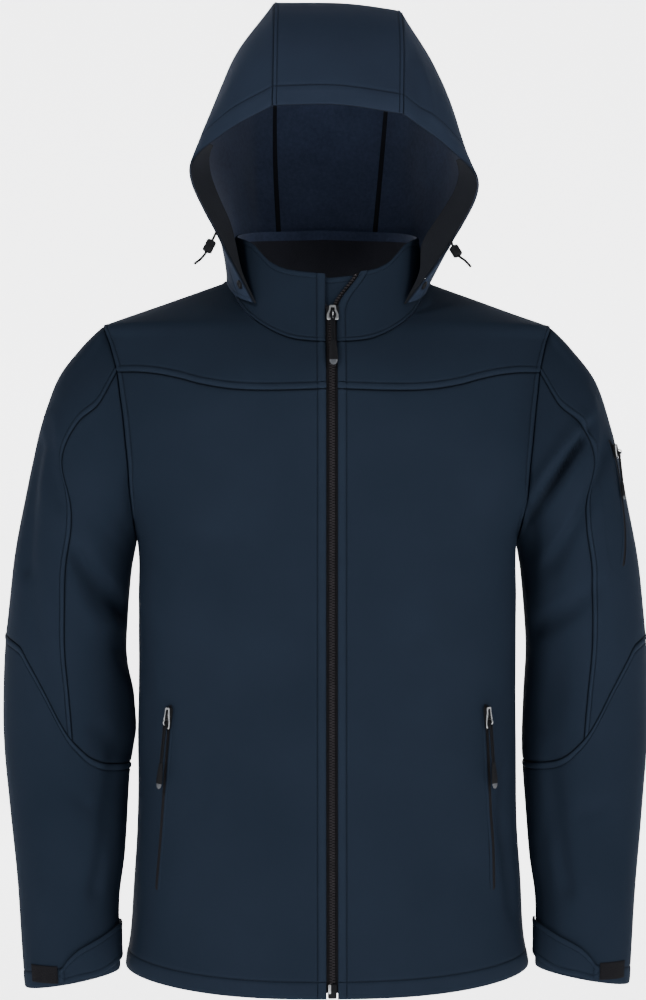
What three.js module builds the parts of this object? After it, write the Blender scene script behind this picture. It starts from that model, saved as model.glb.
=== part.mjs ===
// Hooded softshell jacket, worn shape with no wearer in it.
// Sizes are millimetres. +Z is up, the front faces -Y, and left is the wearer's left, +X.
// The origin lies midway between the two points where the collar meets the shoulder seams.
import * as THREE from 'three';

// Driving sizes of the cloth
const CLOTH = 1.6;
const THIN_CLOTH = 1.0;
const SEAM_GAP = 0.3;
const HALF_SEAM = SEAM_GAP / 2 + 0.02;
const NECK_HALF = 101;
const SHOULDER_HALF = 227.5;
const SHOULDER_DROP = 45.8;
const ARMPIT_Z = -262;
const FRONT_EDGE = 5.5;
const DEGREE = Math.PI / 180;
const QUARTER = 90;
const UP = new THREE.Vector3(0, 0, 1);

// Counts of mesh steps, the same on both sides of each seam
const NECK_STEPS = 6;
const SHOULDER_STEPS = 8;
const ACROSS_STEPS = NECK_STEPS + SHOULDER_STEPS;
const SKIRT_STEPS = 8;
const LOW_ARMHOLE_STEPS = 6;
const HIGH_ARMHOLE_STEPS = 5;
const NECK_SHARE = 0.4;
const SEAM_PASSES = 4;
const HEIGHT_PASSES = 24;

// Small steps over which the surfaces' normals are measured, and how far two surfaces must
// agree before they share one normal at their seam
const BODY_STEP = 0.4;
const SLEEVE_ROW_STEP = 0.05;
const SLEEVE_TURN_STEP = 0.5;
const COLLAR_X_STEP = 0.5;
const SHARE_STEP = 0.02;
const SHARED_NORMAL_FROM = 0.2;
const SHARED_NORMAL_FULL = 0.75;

// Level sections of the body: half width, depth to the front and back, and roundness (1 is an ellipse)
const BODY_RINGS = [
  { z: -712, half: 206, front: 134, back: 132, round: 0.8 },
  { z: -690, half: 204.5, front: 133.5, back: 132, round: 0.8 },
  { z: -660, half: 200, front: 132.5, back: 131, round: 0.8 },
  { z: -610, half: 196.5, front: 131, back: 128, round: 0.8 },
  { z: -560, half: 193.5, front: 130, back: 126, round: 0.8 },
  { z: -500, half: 192, front: 128, back: 123, round: 0.8 },
  { z: -440, half: 192, front: 127, back: 121, round: 0.8 },
  { z: -380, half: 191.5, front: 127, back: 121, round: 0.78 },
  { z: -320, half: 191.5, front: 128, back: 122, round: 0.75 },
  { z: -262, half: 193, front: 129, back: 124, round: 0.73 },
  { z: -234, half: 204.5, front: 130, back: 124, round: 0.79 },
  { z: -210, half: 217, front: 130, back: 124, round: 0.83 },
  { z: -187, half: 226, front: 130, back: 123, round: 0.85 },
  { z: -163, half: 232, front: 130, back: 122, round: 0.88 },
  { z: -130, half: 235.5, front: 129, back: 119, round: 0.94 },
  { z: -95, half: 234.5, front: 123, back: 112, round: 1 },
  { z: -62, half: 229, front: 107, back: 103, round: 1 },
  { z: -45.8, half: 227.5, front: 94, back: 97, round: 1 },
  { z: -28, half: 180, front: 68, back: 88, round: 1 },
  { z: -12, half: 138, front: 40, back: 76, round: 1 },
  { z: 0, half: 101, front: 22, back: 66, round: 1 },
];

// Armhole seam, from the shoulder to the armpit
const ARMHOLE = [
  { z: -262, x: 193 },
  { z: -234, x: 196 },
  { z: -210, x: 198.6 },
  { z: -187, x: 200 },
  { z: -163, x: 202.5 },
  { z: -139, x: 205 },
  { z: -115, x: 208.5 },
  { z: -95, x: 211.5 },
  { z: -78, x: 216 },
  { z: -62, x: 221 },
  { z: -45.8, x: 227.5 },
];

// Front neck seam, yoke seam and hem line, each by its distance from the centre
const NECK_SEAM = [
  { x: 0, z: -68 },
  { x: 34, z: -65 },
  { x: 51, z: -59.5 },
  { x: 68.5, z: -49.5 },
  { x: 81.5, z: -38.5 },
  { x: 90, z: -26 },
  { x: 96.5, z: -12 },
  { x: 101, z: 0 },
];
const YOKE_SEAM = [
  { x: 0, z: -114 },
  { x: 63, z: -115.6 },
  { x: 98, z: -114 },
  { x: 127, z: -109 },
  { x: 147.5, z: -103.2 },
  { x: 168, z: -98.5 },
  { x: 189, z: -95.6 },
  { x: 212, z: -94.4 },
];
const YOKE_ARMHOLE_ANGLE = 57;
const HEM_SIDE_Z = -692;
const HEM_FRONT_Z = -706;
const HEM_BACK_Z = -708;

// Rings of the sleeve from the armhole down: outer and inner edge, half depth, place front to back,
// and the angle of the seam between the top and under sleeve, 0 at the outer edge and 90 in front
const SLEEVE_RINGS = [
  { row: 0, outerX: 227.5, outerZ: -45.8, innerX: 193, innerZ: -262, depth: 72, y: 0, seam: 57 },
  { row: 1, outerX: 250, outerZ: -68, innerX: 193.9, innerZ: -266.5, depth: 77, y: 0, seam: 66 },
  { row: 2, outerX: 274, outerZ: -100, innerX: 194.8, innerZ: -271, depth: 80, y: 1, seam: 63 },
  { row: 3, outerX: 290, outerZ: -147, innerX: 195.8, innerZ: -276, depth: 80, y: 2, seam: 61 },
  { row: 4, outerX: 298.5, outerZ: -180, innerX: 196.8, innerZ: -281.5, depth: 79, y: 3, seam: 79 },
  { row: 5, outerX: 306, outerZ: -215, innerX: 198, innerZ: -288, depth: 78, y: 3, seam: 86 },
  { row: 6, outerX: 316.5, outerZ: -273, innerX: 200, innerZ: -305, depth: 76, y: 4, seam: 87 },
  { row: 7, outerX: 323, outerZ: -322, innerX: 202.5, innerZ: -335, depth: 73, y: 5, seam: 90 },
  { row: 8, outerX: 327.5, outerZ: -370, innerX: 204.5, innerZ: -376, depth: 69, y: 6, seam: 93 },
  { row: 9, outerX: 329, outerZ: -420, innerX: 201.5, innerZ: -422, depth: 65, y: 5, seam: 96 },
  { row: 10, outerX: 328, outerZ: -468, innerX: 200, innerZ: -468, depth: 61, y: 2, seam: 98 },
  { row: 11, outerX: 322, outerZ: -527, innerX: 202, innerZ: -527, depth: 56, y: -6, seam: 98 },
  { row: 12, outerX: 315.5, outerZ: -582, innerX: 205, innerZ: -580, depth: 51, y: -15, seam: 98 },
  { row: 13, outerX: 311, outerZ: -628, innerX: 210, innerZ: -622, depth: 47, y: -23, seam: 98 },
  { row: 14, outerX: 306.5, outerZ: -676, innerX: 209.5, innerZ: -664, depth: 42, y: -32, seam: 98 },
  { row: 15, outerX: 304, outerZ: -709, innerX: 209, innerZ: -692, depth: 39, y: -36, seam: 98 },
];
const CUFF_ROW = 15;
const ARMHOLE_FADE_ROWS = 4;
const ELBOW_SEARCH_ROW = 6;
const UPPER_SLEEVE_STEPS = 14;
const FOREARM_STEPS = 8;

// Elbow seam, by the angle round the sleeve
const ELBOW_SEAM = [
  { angle: 0, z: -356 },
  { angle: 44, z: -368 },
  { angle: 57, z: -384 },
  { angle: 72, z: -410 },
  { angle: 91, z: -451 },
  { angle: 102, z: -467 },
  { angle: 116, z: -480 },
  { angle: 135, z: -486 },
  { angle: 180, z: -488 },
];

// Largest folds of the sleeves: side (1 is the wearer's left), the two ends by row and angle,
// depth of the trough (below zero for a swelling) and its half width
const SLEEVE_FOLDS = [
  { side: 1, rowA: 3.2, angleA: 52, rowB: 5.6, angleB: 128, depth: 5.5, width: 15 },
  { side: 1, rowA: 6.6, angleA: 88, rowB: 7.4, angleB: 150, depth: 4, width: 12 },
  { side: 1, rowA: 10.4, angleA: 130, rowB: 12.6, angleB: 118, depth: 4, width: 12 },
  { side: -1, rowA: 3.4, angleA: 28, rowB: 6.2, angleB: 42, depth: 4, width: 11 },
  { side: -1, rowA: 9, angleA: 172, rowB: 9.6, angleB: 178, depth: -6, width: 24 },
  { side: -1, rowA: 5.6, angleA: 96, rowB: 7.0, angleB: 160, depth: 5, width: 12 },
  { side: -1, rowA: 10.4, angleA: 140, rowB: 12.6, angleB: 124, depth: 4, width: 12 },
  { side: 1, rowA: 4.4, angleA: 300, rowB: 6.2, angleB: 235, depth: 6, width: 13 },
  { side: -1, rowA: 4.6, angleA: 296, rowB: 6.6, angleB: 232, depth: 6, width: 13 },
];

const FOLD_START_ROWS = 2;
const FOLD_ROW_LENGTH = 42;
const FOLD_DEGREE_LENGTH = 1.15;

// Collar: size of its top edge, and the height of that edge by the angle round the neck
const COLLAR_TOP_HALF = 93;
const COLLAR_TOP_FRONT = 90;
const COLLAR_TOP_BACK = 72;
const COLLAR_TOP = [
  { angle: 0, z: 0 },
  { angle: 27, z: 6 },
  { angle: 39, z: 14 },
  { angle: 47, z: 24 },
  { angle: 57, z: 35 },
  { angle: 90, z: 46 },
  { angle: 130, z: 55 },
  { angle: 180, z: 60 },
];
const COLLAR_TURN_FRONT = 110;
const COLLAR_TURN_BACK = 66;
const COLLAR_ROWS = 5;
const OPEN_FOLD_START = 0.4;
const OPEN_FOLD_ANGLE = 16;
const FACING_LOW_SHARE = 0.03;
const FACING_SET_IN = 3;
// How far the hood's facing turns in from the rim on each side, and how far it goes back
const FACING_TURN = [
  { across: 2.33, right: 3, left: 3, back: 12 },
  { across: 3, right: 19, left: 19, back: 22 },
  { across: 3.6, right: 20, left: 27, back: 22 },
  { across: 4, right: 13, left: 26, back: 16 },
  { across: 4.5, right: 4, left: 9, back: 6 },
  { across: 5, right: 1, left: 1, back: 4 },
];

// Hood: sections from the front rim to the nape. Each gives the centre line, then the crown seam
// and four points down one side to the base
const HOOD_SECTIONS = [
  {
    top: [0, -120, 163], crown: [64, -114, 159], side: [112, -94, 131],
    wide: [144, -77, 97], low: [115, -74, 33], base: [77, -87, -28],
  },
  {
    top: [0, -76, 232], crown: [65, -71, 226], side: [111, -60, 180],
    wide: [138, -45, 110], low: [118, -44, 42], base: [93, -63, -20],
  },
  {
    top: [0, -20, 274], crown: [65, -18, 270], side: [110, -13, 206],
    wide: [131, -8, 122], low: [117, -12, 48], base: [101, -31, -7],
  },
  {
    top: [0, 40, 288], crown: [65, 38, 284], side: [105, 34, 214],
    wide: [121, 28, 130], low: [110, 18, 50], base: [103, 0, 4.2],
  },
  {
    top: [0, 97, 244], crown: [62, 92, 239], side: [90, 81, 186],
    wide: [103, 60, 118], low: [102, 38, 45], base: [101.8, 11.4, 5.4],
  },
  {
    top: [0, 124, 146], crown: [58, 115, 142], side: [75, 100, 113],
    wide: [84, 78, 80], low: [89, 52, 33], base: [98.6, 21.6, 5.8],
  },
  {
    top: [0, 69.6, 5.4], crown: [47.5, 61.7, 5.4], side: [62, 55.5, 5.4],
    wide: [74.5, 47.8, 5.4], low: [85, 38.9, 5.4], base: [93, 31.6, 6],
  },
];
const HOOD_SIDE_COLUMNS = ['crown', 'side', 'wide', 'low', 'base'];
const HOOD_BASE_COLUMN = 5;
const HOOD_LEAN = 0.04;
const HOOD_SWAY = 5.5;
const HOOD_SWAY_TOP_Z = 100;
const HOOD_TILT = 0.06;
const HOOD_TILT_FULL_Z = 150;
const HOOD_CENTRE_STEPS = 8;
const HOOD_SIDE_STEPS = 12;
const HOOD_DEPTH_STEPS = 14;
const HOOD_FACING_STEPS = 8;

// Front zip: tapes behind the front edges, closed chain, bottom stop and slider
const ZIP_BOTTOM_Z = -700;
const TAPE_INNER = 1.2;
const TAPE_OUTER = 17;
const TAPE_THICK = 0.7;
const TAPE_GAP = 0.45;
const TAPE_TOP_SHARE = 0.985;
const CHAIN_WIDTH = 5.4;
const CHAIN_THICK = 1.5;
const CHAIN_TOP_SHARE = 0.27;
const ZIP_STOP_Z = -705;
const ZIP_STOP_SIZE = { wide: 8.6, tall: 14, thick: 2.6, corner: 1.2 };
const CURVE_STEPS = 5;
const SLIDER_CORNER = 2;
const SLIDER_SHOULDER = 0.1;
const PULL_NECK = 4;
const PULL_NECK_SHARE = 0.8;
const PULL_WIDEST_SHARE = 0.55;
const SLIDER_X = 1.5;
const SLIDER_Z = -40;
const ZIP_SLIDER = {
  seat: 0.4,
  slider: { wide: 12.5, narrow: 8, tall: 16, thick: 4.2 },
  pull: { stem: 28, stemWide: 3.6, end: 26, endWide: 9, thick: 2.4 },
  hinge: -2,
  lean: -3,
};

// Flap behind the open top of the zip
const FLAP_FROM = -24;
const FLAP_TO = 46;
const FLAP_BEHIND = 3.4;
const FLAP_LEAN = 1.4;
const FLAP_LOW_SHARE = 0.03;
const FLAP_TOP_SHARE = 0.97;
const FLAP_STEPS = 5;

// Pocket zips: ends by distance from the centre and height
const POCKET_TOP = { z: -424, right: 157, left: 153 };
const POCKET_FOOT = { z: -607, right: 171, left: 161 };
const POCKET_STEPS = 8;
const POCKET_SLIDER_SHARE = 0.07;
const POCKET_ZIP_WIDTH = 6;
const STRIP_THICK = 0.8;
const LAID_GAP = 0.35;
const POCKET_SLIDER = {
  seat: STRIP_THICK + 2 * LAID_GAP,
  slider: { wide: 9, narrow: 6.5, tall: 22, thick: 3.6 },
  pull: { stem: 40, stemWide: 3, end: 26, endWide: 7.5, thick: 2.2 },
  hinge: -4,
  lean: -2,
};

// Zip of the pocket on the wearer's left sleeve, by row and angle
const SLEEVE_ZIP = [
  { row: 3.1, angle: 34 },
  { row: 4.2, angle: 32 },
  { row: 5.3, angle: 39 },
  { row: 6.2, angle: 53 },
];
const SLEEVE_ZIP_STEPS = 8;
const SLEEVE_SLIDER_STEP = 1;
const SLEEVE_PULL_STEP = 4;
const SLEEVE_SLIDER = {
  seat: STRIP_THICK + 4 * LAID_GAP,
  slider: { wide: 8, narrow: 6, tall: 14, thick: 3.4 },
  pull: { stem: 30, stemWide: 2.8, end: 18, endWide: 6.5, thick: 2.2 },
  hinge: -2,
  lean: -2,
};

// Cuff tab and the fastening patch under its end, by the angle round the cuff
const CUFF_TAB = [
  { angle: 78, low: -697, high: -687 },
  { angle: 83, low: -700, high: -683 },
  { angle: 88, low: -699, high: -677 },
  { angle: 101, low: -696, high: -667 },
  { angle: 123, low: -693, high: -658 },
  { angle: 156, low: -684, high: -648 },
  { angle: 196, low: -678, high: -645 },
];
const CUFF_TAB_STEPS = 12;
const CUFF_TAB_THICK = 2;
const CUFF_TAB_GAP = 0.9;
const CUFF_PATCH = { from: 38, to: 76, low: -700, high: -683 };
const CUFF_PATCH_STEPS = 5;

// Hood cords: route of each from the rim to its free end, with the lock between two of its points
const CORD_RADIUS = 1.3;
const CORD_STEPS = 12;
const LOCK_FROM_POINT = 1;
const LOCK_RADIUS = 5;
const LOCK_CLEARANCE = 1;
const LOCK_SIDES = 14;
const LOCK_CHAMFER = 0.2;
const CORD_CURVE_STEPS = 4;
const CORD_ROUTE_RIGHT = [
  [-112.7, -75, 42],
  [-116.5, -85.5, 33],
  [-122, -88, 22],
  [-127.5, -88.5, 15],
  [-134, -86.5, 10],
];
const CORD_ROUTE_LEFT = [
  [120.5, -75.3, 35],
  [121.5, -84.5, 28],
  [126.5, -88, 19],
  [133, -88.5, 14],
  [139, -86.5, 8],
];

// Press stud near each front tip of the hood
const STUD_ACROSS = 4.72;
const STUD_DEEP = 0.22;
const STUD_RADIUS = 4.6;
const STUD_THICK = 1.4;
const STUD_SIDES = 16;
const STUD_TAPER = 0.8;

// Cloth colours, by eye
const NAVY = new THREE.MeshStandardMaterial({ color: 0x1f2a38, roughness: 0.85, metalness: 0 });
const HOOD_NAVY = new THREE.MeshStandardMaterial({ color: 0x26303f, roughness: 0.85, metalness: 0 });
const CHARCOAL = new THREE.MeshStandardMaterial({ color: 0x2b2c30, roughness: 0.9, metalness: 0 });
const BLACK = new THREE.MeshStandardMaterial({ color: 0x161618, roughness: 0.7, metalness: 0 });
const SILVER = new THREE.MeshStandardMaterial({ color: 0xa8abb0, roughness: 0.3, metalness: 1 });

const jacket = new THREE.Group();

// Smooth curve through one column of a table
function lookUp(table, key, column, value) {
  const last = table.length - 1;
  let i = 0;
  while (i < last - 1 && value > table[i + 1][key]) i += 1;
  const [a, b] = [table[i], table[i + 1]];
  const span = b[key] - a[key];
  const slopeBetween = (from, to) => (to[column] - from[column]) / (to[key] - from[key]);
  const slopeA = i > 0 ? slopeBetween(table[i - 1], b) : slopeBetween(a, b);
  const slopeB = i + 1 < last ? slopeBetween(a, table[i + 2]) : slopeBetween(a, b);
  const t = (value - a[key]) / span;
  if (t < 0) return a[column] + slopeA * (value - a[key]);
  if (t > 1) return b[column] + slopeB * (value - b[key]);
  const t2 = t * t;
  const t3 = t2 * t;
  return (2 * t3 - 3 * t2 + 1) * a[column] + (t3 - 2 * t2 + t) * span * slopeA
    + (3 * t2 - 2 * t3) * b[column] + (t3 - t2) * span * slopeB;
}

function mix(a, b, t) {
  return a + (b - a) * t;
}

function signedPower(value, power) {
  return Math.sign(value) * Math.abs(value) ** power;
}

function easeIn(value, start, end) {
  const t = Math.min(1, Math.max(0, (value - start) / (end - start)));
  return t * t * (3 - 2 * t);
}

// Half width of the body at one height, straight along the slope of the shoulder
function bodyHalf(z) {
  if (z > -SHOULDER_DROP) return NECK_HALF + (SHOULDER_HALF - NECK_HALF) * (-z / SHOULDER_DROP);
  return lookUp(BODY_RINGS, 'z', 'half', z);
}

// Point on the body's outer face: angle 0 in front, 90 at the left side, 180 at the back
function bodyPoint(angle, z) {
  const round = lookUp(BODY_RINGS, 'z', 'round', z);
  const sine = Math.sin(angle * DEGREE);
  const cosine = Math.cos(angle * DEGREE);
  const depth = lookUp(BODY_RINGS, 'z', cosine > 0 ? 'front' : 'back', z);
  const x = bodyHalf(z) * signedPower(sine, round);
  return new THREE.Vector3(x, -depth * signedPower(cosine, round), z);
}

// Angle at which the body is a given distance from the centre
function bodyAngle(x, z) {
  const round = lookUp(BODY_RINGS, 'z', 'round', z);
  const share = Math.min(1, Math.max(0, x / bodyHalf(z)));
  return Math.asin(share ** (1 / round)) / DEGREE;
}

function bodyNormal(angle, z) {
  const around = bodyPoint(angle + BODY_STEP, z).sub(bodyPoint(angle - BODY_STEP, z));
  const up = bodyPoint(angle, z + BODY_STEP).sub(bodyPoint(angle, z - BODY_STEP));
  return around.cross(up).normalize();
}

// Angle round the armhole loop, 0 at the shoulder and 180 at the armpit, for each row of the body
function armholeAngle(step) {
  if (step <= LOW_ARMHOLE_STEPS) return mix(180, YOKE_ARMHOLE_ANGLE, step / LOW_ARMHOLE_STEPS);
  return mix(YOKE_ARMHOLE_ANGLE, 0, (step - LOW_ARMHOLE_STEPS) / HIGH_ARMHOLE_STEPS);
}

function armholeZ(angle) {
  const middle = (ARMPIT_Z - SHOULDER_DROP) / 2;
  const reach = (-ARMPIT_Z - SHOULDER_DROP) / 2;
  return middle + reach * Math.cos(angle * DEGREE);
}

// Spots are an angle and a height on one half of the body, and serve its front and its back
function armholeSpot(step) {
  const z = armholeZ(armholeAngle(step));
  const x = lookUp(ARMHOLE, 'z', 'x', z);
  return { angle: bodyAngle(x, z), z };
}

function hemZ(angle) {
  const end = angle < QUARTER ? HEM_FRONT_Z : HEM_BACK_Z;
  return mix(HEM_SIDE_Z, end, Math.cos(angle * DEGREE) ** 2);
}

// Centre edge of a front, as an angle
function edgeAngle(z, isBack) {
  return isBack ? 0 : bodyAngle(FRONT_EDGE, z);
}

function acrossShare(column) {
  if (column <= NECK_STEPS) return NECK_SHARE * column / NECK_STEPS;
  return mix(NECK_SHARE, 1, (column - NECK_STEPS) / SHOULDER_STEPS);
}

// Spot of the yoke seam level on one column
function yokeSpot(column, isBack) {
  const armhole = armholeSpot(LOW_ARMHOLE_STEPS);
  const share = acrossShare(column);
  let z = YOKE_SEAM[0].z;
  let angle = 0;
  for (let pass = 0; pass < SEAM_PASSES; pass += 1) {
    angle = mix(edgeAngle(z, isBack), armhole.angle, share);
    const x = bodyPoint(angle, z).x;
    z = column === ACROSS_STEPS ? armhole.z : lookUp(YOKE_SEAM, 'x', 'z', x);
  }
  return { angle, z };
}

// Spot of the neck and shoulder seam on one column
function topSpot(column, isBack) {
  if (column >= NECK_STEPS) {
    const share = (column - NECK_STEPS) / SHOULDER_STEPS;
    return { angle: QUARTER, z: -SHOULDER_DROP * share };
  }
  const share = column / NECK_STEPS;
  if (isBack) return { angle: QUARTER * share, z: 0 };
  const x = mix(FRONT_EDGE, NECK_HALF, Math.sin(QUARTER * share * DEGREE));
  const z = lookUp(NECK_SEAM, 'x', 'z', x);
  return { angle: bodyAngle(x, z), z };
}

// Spot below the armpit: row 0 is the hem
function skirtSpot(column, row, isBack) {
  const share = acrossShare(column);
  const low = hemZ(isBack ? 180 - QUARTER * share : QUARTER * share);
  const z = mix(low, ARMPIT_Z, row / SKIRT_STEPS);
  return { angle: mix(edgeAngle(z, isBack), QUARTER, share), z };
}

// Spot between the armpit and the yoke seam
function chestSpot(column, row, isBack) {
  const share = acrossShare(column);
  const top = yokeSpot(column, isBack);
  const side = armholeSpot(row);
  const sideRise = (side.z - ARMPIT_Z) / (armholeSpot(LOW_ARMHOLE_STEPS).z - ARMPIT_Z);
  const z = mix(ARMPIT_Z, top.z, mix(row / LOW_ARMHOLE_STEPS, sideRise, share * share));
  return { angle: mix(edgeAngle(z, isBack), side.angle, share), z };
}

// Spot between the yoke seam and the neck or shoulder
function yokeAreaSpot(column, row, isBack) {
  const share = acrossShare(column);
  const low = yokeSpot(column, isBack);
  const high = topSpot(column, isBack);
  const t = row / HIGH_ARMHOLE_STEPS;
  const rounded = Math.min(1, column / NECK_STEPS) ** 2;
  const rise = mix(t, Math.sin(QUARTER * t * DEGREE), rounded);
  const side = armholeSpot(LOW_ARMHOLE_STEPS + row);
  const lowSide = armholeSpot(LOW_ARMHOLE_STEPS);
  const pull = share ** 3;
  const z = mix(low.z, high.z, rise) + pull * (side.z - mix(lowSide.z, -SHOULDER_DROP, rise));
  const xAt = (spot) => bodyPoint(spot.angle, spot.z).x;
  const x = mix(xAt(low), xAt(high), t) + pull * (xAt(side) - mix(xAt(lowSide), SHOULDER_HALF, t));
  return { angle: row === HIGH_ARMHOLE_STEPS ? high.angle : bodyAngle(x, z), z };
}

// Outer point and normal of the body at a spot, on the wearer's left or right
function bodyVertex(spot, side, isBack) {
  const angle = isBack ? 180 - spot.angle : spot.angle;
  const point = bodyPoint(angle, spot.z);
  const normal = bodyNormal(angle, spot.z);
  point.x *= side;
  normal.x *= side;
  return { point, normal };
}

// Normal shared by the body and the sleeve where their seam is flat or rounds outward
function seamNormal(own, other) {
  const share = easeIn(own.dot(other), SHARED_NORMAL_FROM, SHARED_NORMAL_FULL);
  return own.clone().addScaledVector(other, share).normalize();
}

function armholeVertex(step, side, isBack) {
  const spot = armholeSpot(step);
  const vertex = bodyVertex(spot, side, isBack);
  const column = sleeveColumn(step, isBack);
  vertex.normal = seamNormal(vertex.normal, sleeveVertex(side, columnAngle(column), 0).normal);
  return vertex;
}

// Closed wall from a grid of outer vertices. A wrapped grid closes on itself along its columns
function wall(name, grid, material, { thick = CLOTH, lift = 0, wrap = false, inset = {} } = {}) {
  const rows = grid.length;
  const columns = grid[0].length;
  const outer = grid.map((line) => line.map((v) => v.point.clone().addScaledVector(v.normal, lift)));
  insetBorders(outer, inset, wrap);
  const innerPoint = (p, r, c) => p.clone().addScaledVector(grid[r][c].normal, -thick);
  const inner = outer.map((line, r) => line.map((p, c) => innerPoint(p, r, c)));
  const positions = [];
  for (const layer of [outer, inner]) {
    for (const line of layer) {
      for (const p of line) positions.push(p.x, p.y, p.z);
    }
  }
  const half = rows * columns;
  const at = (layer, r, c) => layer * half + r * columns + (c % columns);
  const index = [];
  const quad = (a, b, c, d) => index.push(a, b, c, a, c, d);
  const lastColumn = wrap ? columns : columns - 1;
  for (let r = 0; r < rows - 1; r += 1) {
    for (let c = 0; c < lastColumn; c += 1) {
      quad(at(0, r, c), at(0, r, c + 1), at(0, r + 1, c + 1), at(0, r + 1, c));
      quad(at(1, r, c), at(1, r + 1, c), at(1, r + 1, c + 1), at(1, r, c + 1));
    }
    if (!wrap) {
      quad(at(0, r, 0), at(0, r + 1, 0), at(1, r + 1, 0), at(1, r, 0));
      const end = columns - 1;
      quad(at(0, r, end), at(1, r, end), at(1, r + 1, end), at(0, r + 1, end));
    }
  }
  for (let c = 0; c < lastColumn; c += 1) {
    quad(at(0, 0, c), at(1, 0, c), at(1, 0, c + 1), at(0, 0, c + 1));
    quad(at(0, rows - 1, c), at(0, rows - 1, c + 1), at(1, rows - 1, c + 1), at(1, rows - 1, c));
  }
  return addSolid(name, positions, index, material);
}

// Moves each named border of a grid in from its seam
function insetBorders(points, inset, wrap) {
  const last = points.length - 1;
  const pull = (point, toward, amount) => {
    point.addScaledVector(toward.clone().sub(point).normalize(), amount);
  };
  for (let c = 0; c < points[0].length; c += 1) {
    if (inset.first) pull(points[0][c], points[1][c], inset.first);
    if (inset.last) pull(points[last][c], points[last - 1][c], inset.last);
  }
  if (wrap) return;
  for (const line of points) {
    if (inset.start) pull(line[0], line[1], inset.start);
    if (inset.end) pull(line[line.length - 1], line[line.length - 2], inset.end);
  }
}

// Adds a closed solid with its faces pointing out
function addSolid(name, positions, index, material, parent = jacket) {
  const corner = (i) => new THREE.Vector3(positions[3 * i], positions[3 * i + 1], positions[3 * i + 2]);
  let volume = 0;
  for (let i = 0; i < index.length; i += 3) {
    volume += corner(index[i]).dot(corner(index[i + 1]).cross(corner(index[i + 2])));
  }
  if (volume < 0) index.reverse();
  const geometry = new THREE.BufferGeometry();
  geometry.setAttribute('position', new THREE.Float32BufferAttribute(positions, 3));
  geometry.setIndex(index);
  return addMesh(name, geometry, material, parent);
}

function addMesh(name, geometry, material, parent = jacket) {
  const mesh = new THREE.Mesh(geometry, material);
  mesh.name = name;
  parent.add(mesh);
  return mesh;
}

function gridOf(rows, columns, vertexAt) {
  const grid = [];
  for (let r = 0; r <= rows; r += 1) {
    const line = [];
    for (let c = 0; c <= columns; c += 1) line.push(vertexAt(c, r));
    grid.push(line);
  }
  return grid;
}

// Front below the yoke seam
function addFront(name, side) {
  const vertexAt = (column, row) => {
    if (row <= SKIRT_STEPS) return bodyVertex(skirtSpot(column, row, false), side, false);
    const step = row - SKIRT_STEPS;
    if (column === ACROSS_STEPS) return armholeVertex(step, side, false);
    return bodyVertex(chestSpot(column, step, false), side, false);
  };
  const grid = gridOf(SKIRT_STEPS + LOW_ARMHOLE_STEPS, ACROSS_STEPS, vertexAt);
  wall(name, grid, NAVY, { inset: { last: HALF_SEAM, end: HALF_SEAM } });
}

function addYoke(name, side) {
  const vertexAt = (column, row) => {
    if (column === ACROSS_STEPS) return armholeVertex(LOW_ARMHOLE_STEPS + row, side, false);
    return bodyVertex(yokeAreaSpot(column, row, false), side, false);
  };
  const grid = gridOf(HIGH_ARMHOLE_STEPS, ACROSS_STEPS, vertexAt);
  wall(name, grid, NAVY, { inset: { first: HALF_SEAM, last: HALF_SEAM, end: HALF_SEAM } });
}

// Back, from one side seam across to the other
function addBack() {
  const vertexAt = (index, row) => {
    const side = index < ACROSS_STEPS ? -1 : 1;
    const column = Math.abs(index - ACROSS_STEPS);
    if (row <= SKIRT_STEPS) return bodyVertex(skirtSpot(column, row, true), side, true);
    const step = row - SKIRT_STEPS;
    if (column === ACROSS_STEPS) return armholeVertex(step, side, true);
    if (step <= LOW_ARMHOLE_STEPS) return bodyVertex(chestSpot(column, step, true), side, true);
    return bodyVertex(yokeAreaSpot(column, step - LOW_ARMHOLE_STEPS, true), side, true);
  };
  const rows = SKIRT_STEPS + LOW_ARMHOLE_STEPS + HIGH_ARMHOLE_STEPS;
  const grid = gridOf(rows, 2 * ACROSS_STEPS, vertexAt);
  wall('back', grid, NAVY, { inset: { last: HALF_SEAM, start: HALF_SEAM, end: HALF_SEAM } });
}

// Sleeve column for a row of the armhole: the columns run from the armpit up the front,
// over the shoulder and down the back to the armpit
const SLEEVE_COLUMNS = 2 * (LOW_ARMHOLE_STEPS + HIGH_ARMHOLE_STEPS);

function sleeveColumn(step, isBack) {
  return isBack ? SLEEVE_COLUMNS - step : step;
}

// Angle round the armhole of a sleeve column, from 180 at the armpit down to 0 and on to -180
function columnAngle(column) {
  const isBack = column > SLEEVE_COLUMNS / 2;
  return isBack ? -armholeAngle(SLEEVE_COLUMNS - column) : armholeAngle(column);
}

// Angle round the sleeve at one row, 0 at its outer edge, 90 in front and 180 inside.
// The columns bend so that one of them follows the seam between top and under sleeve
function sleeveAngle(base, row) {
  const seam = lookUp(SLEEVE_RINGS, 'row', 'seam', row);
  const start = SLEEVE_RINGS[0].seam;
  const folded = Math.abs(base);
  if (folded <= start) return base * seam / start;
  return Math.sign(base) * (180 - (180 - folded) * (180 - seam) / (180 - start));
}

// The reverse: the armhole angle of the column that has a given angle at one row
function baseOfAngle(angle, row) {
  const seam = lookUp(SLEEVE_RINGS, 'row', 'seam', row);
  const start = SLEEVE_RINGS[0].seam;
  const folded = Math.abs(angle);
  if (folded <= seam) return angle * start / seam;
  return Math.sign(angle) * (180 - (180 - folded) * (180 - start) / (180 - seam));
}

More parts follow.
